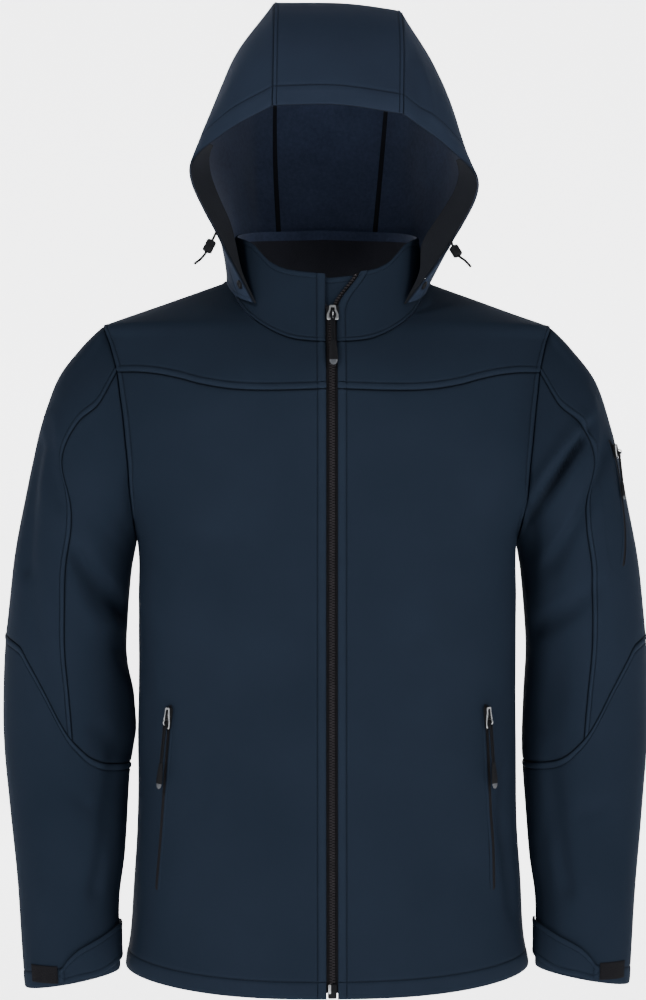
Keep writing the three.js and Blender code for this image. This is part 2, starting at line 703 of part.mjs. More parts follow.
// Point of the sleeve's plain ring at a row and an angle
function ringPoint(row, angle) {
  const read = (column) => lookUp(SLEEVE_RINGS, 'row', column, row);
  const along = (1 + Math.cos(angle * DEGREE)) / 2;
  const y = read('y') - read('depth') * Math.sin(angle * DEGREE);
  const x = mix(read('innerX'), read('outerX'), along);
  return new THREE.Vector3(x, y, mix(read('innerZ'), read('outerZ'), along));
}

// Where the armhole seam leaves the plain ring
function armholeOffset(base) {
  const z = armholeZ(base);
  const angle = bodyAngle(lookUp(ARMHOLE, 'z', 'x', z), z);
  return bodyPoint(base < 0 ? 180 - angle : angle, z).sub(ringPoint(0, base));
}

// Depth of the folds at one place of a sleeve
function foldDepth(side, row, angle) {
  const flat = (atRow, atAngle) => new THREE.Vector2(atRow * FOLD_ROW_LENGTH, atAngle * FOLD_DEGREE_LENGTH);
  const p = flat(row, angle);
  let depth = 0;
  for (const fold of SLEEVE_FOLDS) {
    if (fold.side === side) {
      const a = flat(fold.rowA, fold.angleA);
      const b = flat(fold.rowB, fold.angleB);
      const line = b.clone().sub(a);
      const share = Math.min(1, Math.max(0, p.clone().sub(a).dot(line) / line.lengthSq()));
      const away = p.distanceTo(a.clone().addScaledVector(line, share)) / fold.width;
      depth += fold.depth * Math.exp(-away * away);
    }
  }
  return depth;
}

// Outer point of the wearer's left sleeve, or of the right one mirrored
function sleevePoint(side, base, row) {
  const angle = sleeveAngle(base, row);
  const point = ringPoint(row, angle);
  const fade = Math.max(0, 1 - row / ARMHOLE_FADE_ROWS) ** 2;
  point.addScaledVector(armholeOffset(base), fade);
  const centre = ringPoint(row, QUARTER).add(ringPoint(row, -QUARTER)).multiplyScalar(0.5);
  const depth = foldDepth(side, row, angle) * easeIn(row, 0, FOLD_START_ROWS);
  point.add(centre.sub(point).normalize().multiplyScalar(depth));
  point.x += SEAM_GAP + HALF_SEAM / 2;
  point.x *= side;
  return point;
}

function sleeveVertex(side, base, row) {
  const turned = (turn) => {
    const angle = base + turn;
    return sleevePoint(side, angle > 180 ? angle - 360 : angle, row);
  };
  const moved = (step) => sleevePoint(side, base, Math.max(0, row + step));
  const around = turned(SLEEVE_TURN_STEP).sub(turned(-SLEEVE_TURN_STEP));
  const down = moved(SLEEVE_ROW_STEP).sub(moved(-SLEEVE_ROW_STEP));
  const normal = around.cross(down).normalize().multiplyScalar(side);
  return { point: sleevePoint(side, base, row), normal };
}

// Row at which one column of the sleeve comes down to a height, given by its angle
function rowAtHeight(base, heightAt) {
  let low = ELBOW_SEARCH_ROW;
  let high = CUFF_ROW;
  for (let pass = 0; pass < HEIGHT_PASSES; pass += 1) {
    const row = (low + high) / 2;
    const angle = sleeveAngle(base, row);
    if (ringPoint(row, angle).z > heightAt(Math.abs(angle))) low = row;
    else high = row;
  }
  return (low + high) / 2;
}

function elbowRow(base) {
  return rowAtHeight(base, (angle) => lookUp(ELBOW_SEAM, 'angle', 'z', angle));
}

// Upper sleeve vertex by step from the armhole to the elbow seam
function upperSleeveVertex(side, column, step) {
  const whole = (column + SLEEVE_COLUMNS) % SLEEVE_COLUMNS;
  const base = columnAngle(whole);
  const vertex = sleeveVertex(side, base, elbowRow(base) * step / UPPER_SLEEVE_STEPS);
  if (step > 0) return vertex;
  const isBack = whole > SLEEVE_COLUMNS / 2;
  const spot = armholeSpot(isBack ? SLEEVE_COLUMNS - whole : whole);
  vertex.normal = seamNormal(vertex.normal, bodyVertex(spot, side, isBack).normal);
  return vertex;
}

function addUpperSleeve(sideName, side) {
  const topStart = LOW_ARMHOLE_STEPS;
  const topSpan = 2 * HIGH_ARMHOLE_STEPS;
  const inset = { last: HALF_SEAM, start: HALF_SEAM, end: HALF_SEAM };
  const top = gridOf(UPPER_SLEEVE_STEPS, topSpan, (c, r) => upperSleeveVertex(side, topStart + c, r));
  wall(`sleeve_top_${sideName}`, top, NAVY, { inset });
  const underSpan = 2 * LOW_ARMHOLE_STEPS;
  const under = gridOf(UPPER_SLEEVE_STEPS, underSpan, (c, r) => upperSleeveVertex(side, c - topStart, r));
  wall(`sleeve_under_${sideName}`, under, NAVY, { inset });
}

function forearmVertex(side, column, step) {
  const base = columnAngle(column);
  return sleeveVertex(side, base, mix(elbowRow(base), CUFF_ROW, step / FOREARM_STEPS));
}

function addForearm(sideName, side) {
  const grid = gridOf(FOREARM_STEPS, SLEEVE_COLUMNS - 1, (c, r) => forearmVertex(side, c, r));
  wall(`forearm_${sideName}`, grid, NAVY, { wrap: true, inset: { first: HALF_SEAM } });
}

// Angle round the neck of a point of the neck seam, 0 in front and 180 at the back
function neckAngle(point) {
  const depth = point.y < 0 ? COLLAR_TURN_FRONT : COLLAR_TURN_BACK;
  return Math.atan2(point.x / NECK_HALF, -point.y / depth) / DEGREE;
}

function neckSeamPoint(column, isBack) {
  const spot = topSpot(column, isBack);
  return bodyPoint(isBack ? 180 - spot.angle : spot.angle, spot.z);
}

// Outer point of the collar: share 0 at the neck seam and 1 at the top edge.
// The wearer's left front turns open above the slider
function collarPoint(side, base, share, fold = side > 0 ? OPEN_FOLD_ANGLE : 0) {
  let angle = neckAngle(base);
  if (angle < QUARTER) angle += fold * easeIn(share, OPEN_FOLD_START, 1) * (1 - angle / QUARTER);
  const depth = angle < QUARTER ? COLLAR_TOP_FRONT : COLLAR_TOP_BACK;
  const top = new THREE.Vector3();
  top.x = COLLAR_TOP_HALF * Math.sin(angle * DEGREE);
  top.y = -depth * Math.cos(angle * DEGREE);
  top.z = lookUp(COLLAR_TOP, 'angle', 'z', Math.abs(angle));
  const low = base.clone();
  low.z += SEAM_GAP;
  const point = low.clone().lerp(top, share);
  point.x *= side;
  return point;
}

// Collar columns run from the right front edge round the back to the left front edge
const COLLAR_COLUMNS = 4 * NECK_STEPS;

function collarBase(index) {
  const quarter = Math.floor(index / NECK_STEPS);
  const column = index % NECK_STEPS;
  if (index === COLLAR_COLUMNS) return { side: 1, base: neckSeamPoint(0, false) };
  if (quarter === 0) return { side: -1, base: neckSeamPoint(column, false) };
  if (quarter === 1) return { side: -1, base: neckSeamPoint(NECK_STEPS - column, true) };
  if (quarter === 2) return { side: 1, base: neckSeamPoint(column, true) };
  return { side: 1, base: neckSeamPoint(NECK_STEPS - column, false) };
}

function collarAt(index, share) {
  const { side, base } = collarBase(index);
  return collarPoint(side, base, share);
}

function collarVertex(index, share) {
  const after = collarAt(Math.min(COLLAR_COLUMNS, index + 1), share);
  const around = after.sub(collarAt(Math.max(0, index - 1), share));
  const up = collarAt(index, share + SHARE_STEP).sub(collarAt(index, share - SHARE_STEP));
  return { point: collarAt(index, share), normal: up.cross(around).normalize() };
}

function addCollar() {
  const outer = gridOf(COLLAR_ROWS, COLLAR_COLUMNS, (c, r) => collarVertex(c, r / COLLAR_ROWS));
  wall('collar', outer, NAVY);
  const facing = gridOf(COLLAR_ROWS, COLLAR_COLUMNS - 2, (c, r) => {
    return collarVertex(c + 1, mix(FACING_LOW_SHARE, 1, r / COLLAR_ROWS));
  });
  wall('collar_facing', facing, BLACK, { lift: -CLOTH - SEAM_GAP, thick: THIN_CLOTH });
}

// Hood section point by column, 0 on the centre line, 1 at the crown seam and 5 at the base
function hoodControl(row, column) {
  const section = HOOD_SECTIONS[row];
  const name = column === 0 ? 'top' : HOOD_SIDE_COLUMNS[Math.abs(column) - 1];
  const [x, y, z] = section[name];
  const outward = Math.sign(column) * x;
  const swayShare = Math.min(1, Math.max(0, z / HOOD_SWAY_TOP_Z));
  const sway = HOOD_LEAN * Math.max(0, z) + HOOD_SWAY * Math.sin(Math.PI * swayShare);
  return new THREE.Vector3(outward + sway, y, z - HOOD_TILT * outward * easeIn(z, 0, HOOD_TILT_FULL_Z));
}

// Smooth curve through a list of points, by its index
function alongPoints(points, at) {
  const last = points.length - 1;
  const i = Math.min(last - 1, Math.max(0, Math.floor(at)));
  const t = at - i;
  const [b, c] = [points[i], points[i + 1]];
  const a = i > 0 ? points[i - 1] : b.clone().multiplyScalar(2).sub(c);
  const d = i + 2 <= last ? points[i + 2] : c.clone().multiplyScalar(2).sub(b);
  const bent = (p, q, r, s) => {
    const curve = 2 * p - 5 * q + 4 * r - s + t * (3 * (q - r) + s - p);
    return q + t * (r - p + t * curve) / 2;
  };
  const read = (axis) => bent(a[axis], b[axis], c[axis], d[axis]);
  return new THREE.Vector3(read('x'), read('y'), read('z'));
}

// Point of the hood: across from -5 to 5, and deep from 0 at the rim to 6 at the nape.
// The centre panel and the side panels each have their own curve, so their seams are ridges
function hoodPoint(across, deep) {
  const inCentre = Math.abs(across) <= 1;
  const sign = Math.sign(across) || 1;
  const first = inCentre ? -sign : sign;
  const count = inCentre ? 3 : HOOD_BASE_COLUMN;
  const sections = HOOD_SECTIONS.map((section, row) => {
    const points = Array.from({ length: count }, (_, i) => hoodControl(row, first + i * sign));
    return alongPoints(points, (across - first) * sign);
  });
  return alongPoints(sections, deep);
}

function hoodVertex(across, deep) {
  const around = hoodPoint(across + SHARE_STEP, deep).sub(hoodPoint(across - SHARE_STEP, deep));
  const back = hoodPoint(across, deep + SHARE_STEP).sub(hoodPoint(across, deep - SHARE_STEP));
  return { point: hoodPoint(across, deep), normal: around.cross(back).normalize() };
}

function addHoodPanel(name, from, to, steps, inset) {
  const lastSection = HOOD_SECTIONS.length - 1;
  const grid = gridOf(HOOD_DEPTH_STEPS, steps, (c, r) => {
    return hoodVertex(mix(from, to, c / steps), lastSection * r / HOOD_DEPTH_STEPS);
  });
  wall(name, grid, HOOD_NAVY, { inset });
}

function addHood() {
  addHoodPanel('hood_centre', -1, 1, HOOD_CENTRE_STEPS, { start: HALF_SEAM, end: HALF_SEAM });
  addHoodPanel('hood_side_right', -HOOD_BASE_COLUMN, -1, HOOD_SIDE_STEPS, { end: HALF_SEAM });
  addHoodPanel('hood_side_left', 1, HOOD_BASE_COLUMN, HOOD_SIDE_STEPS, { start: HALF_SEAM });
}

// Point of the hood's facing, which turns in from the rim towards the middle
function facingPoint(sideName, side, across, share) {
  const [turn, back] = [sideName, 'back'].map((key) => lookUp(FACING_TURN, 'across', key, across));
  const inward = FACING_SET_IN + turn * share;
  return hoodPoint(side * across, 0).add(new THREE.Vector3(-side * inward, mix(1, back, share), 0));
}

// Facing inside the hood's front edge, from the tip to above the widest part
function addHoodFacing(sideName, side) {
  const grid = gridOf(1, HOOD_FACING_STEPS, (c, r) => {
    const step = HOOD_SIDE_STEPS - (side > 0 ? HOOD_FACING_STEPS - c : c);
    const across = mix(1, HOOD_BASE_COLUMN, step / HOOD_SIDE_STEPS);
    const at = (place, share) => facingPoint(sideName, side, place, share);
    const along = at(across + SHARE_STEP, r).sub(at(across - SHARE_STEP, r)).multiplyScalar(side);
    const turned = at(across, 1).sub(at(across, 0));
    return { point: at(across, r), normal: along.cross(turned).normalize() };
  });
  wall(`hood_facing_${sideName}`, grid, CHARCOAL, { thick: THIN_CLOTH });
}

// Point of the front neck seam at a distance from the centre
function neckPointAt(x) {
  const z = lookUp(NECK_SEAM, 'x', 'z', x);
  return bodyPoint(bodyAngle(x, z), z);
}

// Vertex of the collar at a distance from the centre front, folded open or not
function collarFrontVertex(x, share, fold) {
  const at = (value, height) => {
    const base = neckPointAt(Math.abs(value));
    return collarPoint(value < 0 ? -1 : 1, base, height, fold);
  };
  const around = at(x + COLLAR_X_STEP, share).sub(at(x - COLLAR_X_STEP, share));
  const up = at(x, share + SHARE_STEP).sub(at(x, share - SHARE_STEP));
  return { point: at(x, share), normal: around.cross(up).normalize() };
}

// Vertex on the flat first column of the collar, at a distance from the centre at its foot
function collarEdgeVertex(side, x, share) {
  const [edge, next] = side > 0 ? [COLLAR_COLUMNS, COLLAR_COLUMNS - 1] : [0, 1];
  const [a, b] = [collarVertex(edge, share), collarVertex(next, share)];
  const nextX = neckSeamPoint(1, false).x;
  const reach = (x - FRONT_EDGE) / (nextX - FRONT_EDGE);
  return { point: a.point.lerp(b.point, reach), normal: a.normal.lerp(b.normal, reach).normalize() };
}

// Heights of the rows of a front, from the hem to the neck seam
function frontRowSpots() {
  const spots = [];
  for (let row = 0; row <= SKIRT_STEPS; row += 1) spots.push(skirtSpot(0, row, false).z);
  for (let row = 1; row <= LOW_ARMHOLE_STEPS; row += 1) spots.push(chestSpot(0, row, false).z);
  for (let row = 1; row < HIGH_ARMHOLE_STEPS; row += 1) spots.push(yokeAreaSpot(0, row, false).z);
  return spots;
}

// Vertex on the body's front at a distance from the centre
function frontVertexAt(x, z) {
  return bodyVertex({ angle: bodyAngle(Math.abs(x), z), z }, Math.sign(x) || 1, false);
}

// Zip tape behind one front edge, from the hem to the top of the collar
function addZipTape(name, side) {
  const heights = frontRowSpots();
  heights[0] = ZIP_BOTTOM_Z;
  const columns = side > 0 ? [TAPE_INNER, TAPE_OUTER] : [TAPE_OUTER, TAPE_INNER];
  const grid = heights.map((z) => columns.map((x) => frontVertexAt(side * x, z)));
  for (let row = 0; row <= COLLAR_ROWS; row += 1) {
    const share = Math.min(row / COLLAR_ROWS, TAPE_TOP_SHARE);
    grid.push(columns.map((x) => collarEdgeVertex(side, x, share)));
  }
  wall(name, grid, BLACK, { lift: -CLOTH - TAPE_GAP, thick: TAPE_THICK });
}

// Closed chain of the zip, below the slider
function addZipChain() {
  const half = CHAIN_WIDTH / 2;
  const columns = [-half, half];
  const grid = frontRowSpots().map((z) => columns.map((x) => frontVertexAt(x, z)));
  grid[0] = columns.map((x) => frontVertexAt(x, ZIP_STOP_Z + ZIP_STOP_SIZE.tall + SEAM_GAP));
  for (const share of [0, CHAIN_TOP_SHARE]) grid.push(columns.map((x) => collarFrontVertex(x, share, 0)));
  wall('zip_chain', grid, BLACK, { lift: -SEAM_GAP / 2, thick: CHAIN_THICK });
}

// Flap inside the front, behind the open top of the zip
function addWindFlap() {
  const grid = gridOf(COLLAR_ROWS, FLAP_STEPS, (c, r) => {
    const x = mix(FLAP_FROM, FLAP_TO, c / FLAP_STEPS);
    const share = mix(FLAP_LOW_SHARE, FLAP_TOP_SHARE, r / COLLAR_ROWS);
    const vertex = collarFrontVertex(x, share, 0);
    vertex.point.addScaledVector(vertex.normal, -FLAP_LEAN * share);
    return vertex;
  });
  wall('wind_flap', grid, NAVY, { lift: -FLAP_BEHIND });
}

// Group whose -Y points away from the cloth and whose +Z runs along the given direction
function frameOn(vertex, along, lift) {
  const group = new THREE.Group();
  const out = vertex.normal.clone();
  const up = along.clone().addScaledVector(out, -along.dot(out)).normalize();
  const right = out.clone().negate().cross(up);
  group.quaternion.setFromRotationMatrix(new THREE.Matrix4().makeBasis(right, out.clone().negate(), up));
  group.position.copy(vertex.point).addScaledVector(out, lift);
  jacket.add(group);
  return group;
}

// Outline in the plane of the zip, extruded away from the cloth from one depth to another
function addPlate(name, outline, from, thick, material, parent) {
  const form = { depth: thick, bevelEnabled: false, curveSegments: CURVE_STEPS };
  const geometry = new THREE.ExtrudeGeometry(outline, form);
  geometry.rotateX(Math.PI / 2);
  geometry.translate(0, -from, 0);
  return addMesh(name, geometry, material, parent);
}

// Box with round corners, about the middle of its plane
function roundedBox({ wide, tall, corner }) {
  const shape = new THREE.Shape();
  const [x, z] = [wide / 2 - corner, tall / 2 - corner];
  shape.absarc(x, -z, corner, -Math.PI / 2, 0, false);
  shape.absarc(x, z, corner, 0, Math.PI / 2, false);
  shape.absarc(-x, z, corner, Math.PI / 2, Math.PI, false);
  shape.absarc(-x, -z, corner, Math.PI, Math.PI * 1.5, false);
  return shape;
}

// Slider body: wide at its top shoulders and narrow at its foot
function sliderOutline({ wide, narrow, tall }) {
  const shape = new THREE.Shape();
  shape.moveTo(-narrow / 2, -tall / 2);
  shape.lineTo(narrow / 2, -tall / 2);
  shape.lineTo(wide / 2, tall * SLIDER_SHOULDER);
  const [x, z] = [wide / 2 - SLIDER_CORNER, tall / 2 - SLIDER_CORNER];
  shape.absarc(x, z, SLIDER_CORNER, 0, Math.PI / 2, false);
  shape.absarc(-x, z, SLIDER_CORNER, Math.PI / 2, Math.PI, false);
  shape.lineTo(-wide / 2, tall * SLIDER_SHOULDER);
  return shape;
}

// Pull: a cord stem from the hinge down to a moulded end
function pullOutline({ stem, stemWide, end, endWide }) {
  const shape = new THREE.Shape();
  const [a, b] = [stemWide / 2, endWide / 2];
  const neck = b * PULL_NECK_SHARE;
  const widest = -stem - end * PULL_WIDEST_SHARE;
  shape.moveTo(a, 0);
  shape.lineTo(-a, 0);
  shape.lineTo(-a, -stem);
  shape.lineTo(-neck, -stem - PULL_NECK);
  shape.lineTo(-b, widest);
  shape.absarc(0, -stem - end + neck, neck, Math.PI, 2 * Math.PI, false);
  shape.lineTo(b, widest);
  shape.lineTo(neck, -stem - PULL_NECK);
  shape.lineTo(a, -stem);
  return shape;
}

// Slider and hinged pull on a zip, at a vertex of the cloth
function addSlider(prefix, vertex, along, size) {
  const head = frameOn(vertex, along, size.seat);
  addPlate(`${prefix}_slider`, sliderOutline(size.slider), 0, size.slider.thick, SILVER, head);
  const hinge = new THREE.Group();
  hinge.position.set(0, -size.slider.thick - SEAM_GAP - size.pull.thick / 2, size.hinge);
  hinge.rotation.x = size.lean * DEGREE;
  head.add(hinge);
  addPlate(`${prefix}_pull`, pullOutline(size.pull), -size.pull.thick / 2, size.pull.thick, BLACK, hinge);
}

function addFrontSlider() {
  const share = (SLIDER_Z - NECK_SEAM[0].z) / (COLLAR_TOP[0].z - NECK_SEAM[0].z);
  addSlider('zip', collarFrontVertex(SLIDER_X, share, 0), UP, ZIP_SLIDER);
}

function addZipStop() {
  const middle = ZIP_STOP_Z + ZIP_STOP_SIZE.tall / 2;
  const head = frameOn(frontVertexAt(0, middle), UP, 0);
  const { thick } = ZIP_STOP_SIZE;
  addPlate('zip_stop', roundedBox(ZIP_STOP_SIZE), -thick / 2, thick, SILVER, head);
}

// Flat strip that follows a path of vertices
function addStrip(name, path, width, thick, material) {
  const grid = path.map((vertex, i) => {
    const after = path[Math.min(path.length - 1, i + 1)].point;
    const along = after.clone().sub(path[Math.max(0, i - 1)].point);
    const across = along.cross(vertex.normal).normalize();
    return [-width / 2, width / 2].map((reach) => {
      return { point: vertex.point.clone().addScaledVector(across, reach), normal: vertex.normal };
    });
  });
  wall(name, grid, material, { lift: thick + LAID_GAP, thick });
}

function pocketVertex(sideName, side, share) {
  const z = mix(POCKET_TOP.z, POCKET_FOOT.z, share);
  return frontVertexAt(side * mix(POCKET_TOP[sideName], POCKET_FOOT[sideName], share), z);
}

function addPocket(sideName, side) {
  const path = [];
  for (let i = 0; i <= POCKET_STEPS; i += 1) path.push(pocketVertex(sideName, side, i / POCKET_STEPS));
  addStrip(`pocket_zip_${sideName}`, path, POCKET_ZIP_WIDTH, STRIP_THICK, BLACK);
  const along = path[0].point.clone().sub(path[1].point);
  addSlider(`pocket_${sideName}`, pocketVertex(sideName, side, POCKET_SLIDER_SHARE), along, POCKET_SLIDER);
}

// Vertex of the sleeve by its own angle at a row
function sleeveVertexAtAngle(side, angle, row) {
  return sleeveVertex(side, baseOfAngle(angle, row), row);
}

function addSleevePocket() {
  const side = 1;
  const last = SLEEVE_ZIP.length - 1;
  const path = [];
  for (let i = 0; i <= SLEEVE_ZIP_STEPS; i += 1) {
    const row = mix(SLEEVE_ZIP[0].row, SLEEVE_ZIP[last].row, i / SLEEVE_ZIP_STEPS);
    path.push(sleeveVertexAtAngle(side, lookUp(SLEEVE_ZIP, 'row', 'angle', row), row));
  }
  addStrip('sleeve_pocket_zip', path, POCKET_ZIP_WIDTH, STRIP_THICK, BLACK);
  const { point, normal } = path[SLEEVE_SLIDER_STEP];
  const along = point.clone().sub(path[SLEEVE_PULL_STEP].point).normalize();
  const level = normal.clone().addScaledVector(along, -normal.dot(along)).normalize();
  addSlider('sleeve_pocket', { point, normal: level }, along, SLEEVE_SLIDER);
}

// Vertex of the forearm at an angle and a height
function cuffVertex(side, angle, z) {
  const folded = angle > 180 ? angle - 360 : angle;
  const nearCuff = CUFF_ROW - 1;
  const base = baseOfAngle(folded, nearCuff);
  return sleeveVertex(side, base, rowAtHeight(base, () => z));
}

function addCuffTab(sideName, side) {
  const first = CUFF_TAB[0].angle;
  const last = CUFF_TAB[CUFF_TAB.length - 1].angle;
  const grid = gridOf(1, CUFF_TAB_STEPS, (c, r) => {
    const angle = mix(first, last, c / CUFF_TAB_STEPS);
    return cuffVertex(side, angle, lookUp(CUFF_TAB, 'angle', r === 0 ? 'low' : 'high', angle));
  });
  const lift = CUFF_TAB_THICK + CUFF_TAB_GAP;
  wall(`cuff_tab_${sideName}`, grid, NAVY, { lift, thick: CUFF_TAB_THICK });
  const patch = gridOf(1, CUFF_PATCH_STEPS, (c, r) => {
    const angle = mix(CUFF_PATCH.from, CUFF_PATCH.to, c / CUFF_PATCH_STEPS);
    return cuffVertex(side, angle, r === 0 ? CUFF_PATCH.low : CUFF_PATCH.high);
  });
  wall(`cuff_patch_${sideName}`, patch, BLACK, { lift: STRIP_THICK + LAID_GAP, thick: STRIP_THICK });
}

// Elastic cord from the rim of the hood, with a barrel lock on it and a free end
function addHoodCord(sideName, route) {
  const points = route.map(([x, y, z]) => new THREE.Vector3(x, y, z));
  const section = new THREE.Shape();
  section.absarc(0, 0, CORD_RADIUS, 0, 2 * Math.PI, false);
  const path = new THREE.CatmullRomCurve3(points);
  const form = { steps: CORD_STEPS, curveSegments: CORD_CURVE_STEPS, extrudePath: path };
  const geometry = new THREE.ExtrudeGeometry(section, form);
  addMesh(`hood_cord_${sideName}`, geometry, BLACK);
  const [from, to] = [points[LOCK_FROM_POINT], points[LOCK_FROM_POINT + 1]];
  const barrel = new THREE.LatheGeometry(lockProfile(from.distanceTo(to)), LOCK_SIDES);
  const lock = addMesh(`hood_lock_${sideName}`, barrel, BLACK);
  lock.position.copy(from);
  lock.quaternion.setFromUnitVectors(new THREE.Vector3(0, 1, 0), to.clone().sub(from).normalize());
}

// Section of the lock's wall, closed on itself
function lockProfile(length) {
  const hole = CORD_RADIUS + LOCK_CLEARANCE;
  const end = LOCK_RADIUS * (1 - LOCK_CHAMFER);
  const [low, high] = [length * LOCK_CHAMFER, length * (1 - LOCK_CHAMFER)];
  const outside = [[end, 0], [LOCK_RADIUS, low], [LOCK_RADIUS, high], [end, length]];
  const wallLine = [[hole, 0], ...outside, [hole, length]];
  return [...wallLine, wallLine[0]].map(([x, y]) => new THREE.Vector2(x, y));
}

// Press stud near each front tip of the hood
function addHoodStud(name, side) {
  const vertex = hoodVertex(side * STUD_ACROSS, STUD_DEEP);
  const head = frameOn(vertex, UP, 2 * LAID_GAP);
  const disc = new THREE.CylinderGeometry(STUD_RADIUS * STUD_TAPER, STUD_RADIUS, STUD_THICK, STUD_SIDES);
  disc.rotateX(Math.PI);
  const stud = addMesh(name, disc, BLACK, head);
  stud.position.y = -STUD_THICK / 2;
}

addFront('front_right', -1);
addFront('front_left', 1);
addYoke('yoke_right', -1);
addYoke('yoke_left', 1);
addBack();
for (const [sideName, side] of [['right', -1], ['left', 1]]) {
  addUpperSleeve(sideName, side);
  addForearm(sideName, side);
}
addCollar();
addHood();
addHoodFacing('right', -1);
addHoodFacing('left', 1);
addWindFlap();
addZipTape('zip_tape_right', -1);
addZipTape('zip_tape_left', 1);
addZipChain();
addZipStop();
addFrontSlider();
addPocket('right', -1);
addPocket('left', 1);
addSleevePocket();
addCuffTab('right', -1);
addCuffTab('left', 1);
addHoodCord('right', CORD_ROUTE_RIGHT);
addHoodCord('left', CORD_ROUTE_LEFT);
addHoodStud('hood_stud_right', -1);
addHoodStud('hood_stud_left', 1);

export default jacket;
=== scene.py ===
# Hooded softshell jacket: cloth panels, seams, stitching, zips and trim over the fixed frame.
# Cut sizes are millimetres and every mesh is made in metres. +Z is up, the front faces -Y,
# and left is the wearer's left, +X.
import math
from functools import partial

import bmesh
import bpy
import numpy as np
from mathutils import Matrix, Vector
from mathutils.bvhtree import BVHTree


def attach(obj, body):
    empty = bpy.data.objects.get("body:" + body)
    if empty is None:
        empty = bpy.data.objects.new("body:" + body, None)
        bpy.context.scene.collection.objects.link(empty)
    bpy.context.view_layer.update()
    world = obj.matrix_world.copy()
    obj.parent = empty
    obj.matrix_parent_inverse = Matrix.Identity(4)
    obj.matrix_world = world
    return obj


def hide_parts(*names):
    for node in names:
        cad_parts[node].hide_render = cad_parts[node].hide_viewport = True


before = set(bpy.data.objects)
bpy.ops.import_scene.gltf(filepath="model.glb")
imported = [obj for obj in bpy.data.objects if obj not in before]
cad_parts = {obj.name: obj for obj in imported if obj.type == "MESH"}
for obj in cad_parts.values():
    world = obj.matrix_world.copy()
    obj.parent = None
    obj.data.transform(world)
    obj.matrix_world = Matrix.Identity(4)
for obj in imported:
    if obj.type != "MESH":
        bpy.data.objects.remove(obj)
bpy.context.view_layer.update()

MM = 0.001
TINY = 0.001
GARMENT = "garment"
RIGHT, LEFT = ("right", -1), ("left", 1)

# Camera, at the height of the chest and a little to one side
CAMERA_DISTANCE = 2600
CAMERA_TURN = math.radians(2.1)
CAMERA_X = -4.1
CAMERA_Z = -222.4
VIEW_HEIGHT = 1020
SENSOR = 36

# Cloth
CLOTH = 1.6
THIN_CLOTH = 0.9
NECK_HALF = 101
SHOULDER_HALF = 227.5
SHOULDER_DROP = 45.8
ARMPIT_Z = -262
FRONT_EDGE = 5.5
NECK_COLUMNS = 6
COLUMNS = 14
SKIRT_ROWS = 8
CHEST_ROWS = 6
SHOULDER_ROWS = 5
YOKE_ROW = SKIRT_ROWS + CHEST_ROWS
TOP_ROW = YOKE_ROW + SHOULDER_ROWS
NECK_SHARE = 0.4
YOKE_ARMHOLE_ANGLE = 57
SLEEVE_COLUMNS = 22
FRONT_SEAM_COLUMN = 6
BACK_SEAM_COLUMN = 16
UPPER_SLEEVE_ROWS = 14
CUFF_ROW = 15


def columns(names, *rows):
    """A table whose columns are read by name"""
    return dict(zip(names.split(), np.array(rows, float).T))


BODY_RINGS = columns(
    "z half front back round",
    (-712, 206, 134, 132, 0.8), (-690, 204.5, 133.5, 132, 0.8), (-660, 200, 132.5, 131, 0.8),
    (-610, 196.5, 131, 128, 0.8), (-560, 193.5, 130, 126, 0.8), (-500, 192, 128, 123, 0.8),
    (-440, 192, 127, 121, 0.8), (-380, 191.5, 127, 121, 0.78), (-320, 191.5, 128, 122, 0.75),
    (-262, 193, 129, 124, 0.73), (-234, 204.5, 130, 124, 0.79), (-210, 217, 130, 124, 0.83),
    (-187, 226, 130, 123, 0.85), (-163, 232, 130, 122, 0.88), (-130, 235.5, 129, 119, 0.94),
    (-95, 234.5, 123, 112, 1), (-62, 229, 107, 103, 1), (-45.8, 227.5, 94, 97, 1),
    (-28, 180, 68, 88, 1), (-12, 138, 40, 76, 1), (0, 101, 22, 66, 1),
)
ARMHOLE = columns(
    "z x",
    (-262, 193), (-234, 196), (-210, 198.6), (-187, 200), (-163, 202.5), (-139, 205),
    (-115, 208.5), (-95, 211.5), (-78, 216), (-62, 221), (-45.8, 227.5),
)
NECK_SEAM = columns(
    "x z",
    (0, -68), (34, -65), (51, -59.5), (68.5, -49.5), (81.5, -38.5), (90, -26), (96.5, -12), (101, 0),
)
YOKE_SEAM = columns(
    "x z",
    (0, -114), (63, -115.6), (98, -114), (127, -109), (147.5, -103.2), (168, -98.5),
    (189, -95.6), (212, -94.4),
)
HEM_SIDE_Z = -692
HEM_FRONT_Z = -706
HEM_BACK_Z = -708

# Rings of the sleeve from the armhole to the cuff
SLEEVE_RINGS = columns(
    "row outer_x outer_z inner_x inner_z depth y seam",
    (0, 227.5, -45.8, 193, -262, 72, 0, 57), (1, 250, -68, 193.9, -266.5, 77, 0, 66),
    (2, 274, -100, 194.8, -271, 80, 1, 63), (3, 290, -147, 195.8, -276, 80, 2, 61),
    (4, 298.5, -180, 196.8, -281.5, 79, 3, 79), (5, 306, -215, 198, -288, 78, 3, 86),
    (6, 316.5, -273, 200, -305, 76, 4, 87), (7, 323, -322, 202.5, -335, 73, 5, 90),
    (8, 327.5, -370, 204.5, -376, 69, 6, 93), (9, 329, -420, 201.5, -422, 65, 5, 96),
    (10, 328, -468, 200, -468, 61, 2, 98), (11, 322, -527, 202, -527, 56, -6, 98),
    (12, 315.5, -582, 205, -580, 51, -15, 98), (13, 311, -628, 210, -622, 47, -23, 98),
    (14, 306.5, -676, 209.5, -664, 42, -32, 98), (15, 304, -709, 209, -692, 39, -36, 98),
)
ELBOW_SEAM = columns(
    "angle z",
    (0, -356), (44, -368), (57, -384), (72, -410), (91, -451), (102, -467), (116, -480),
    (135, -486), (180, -488),
)
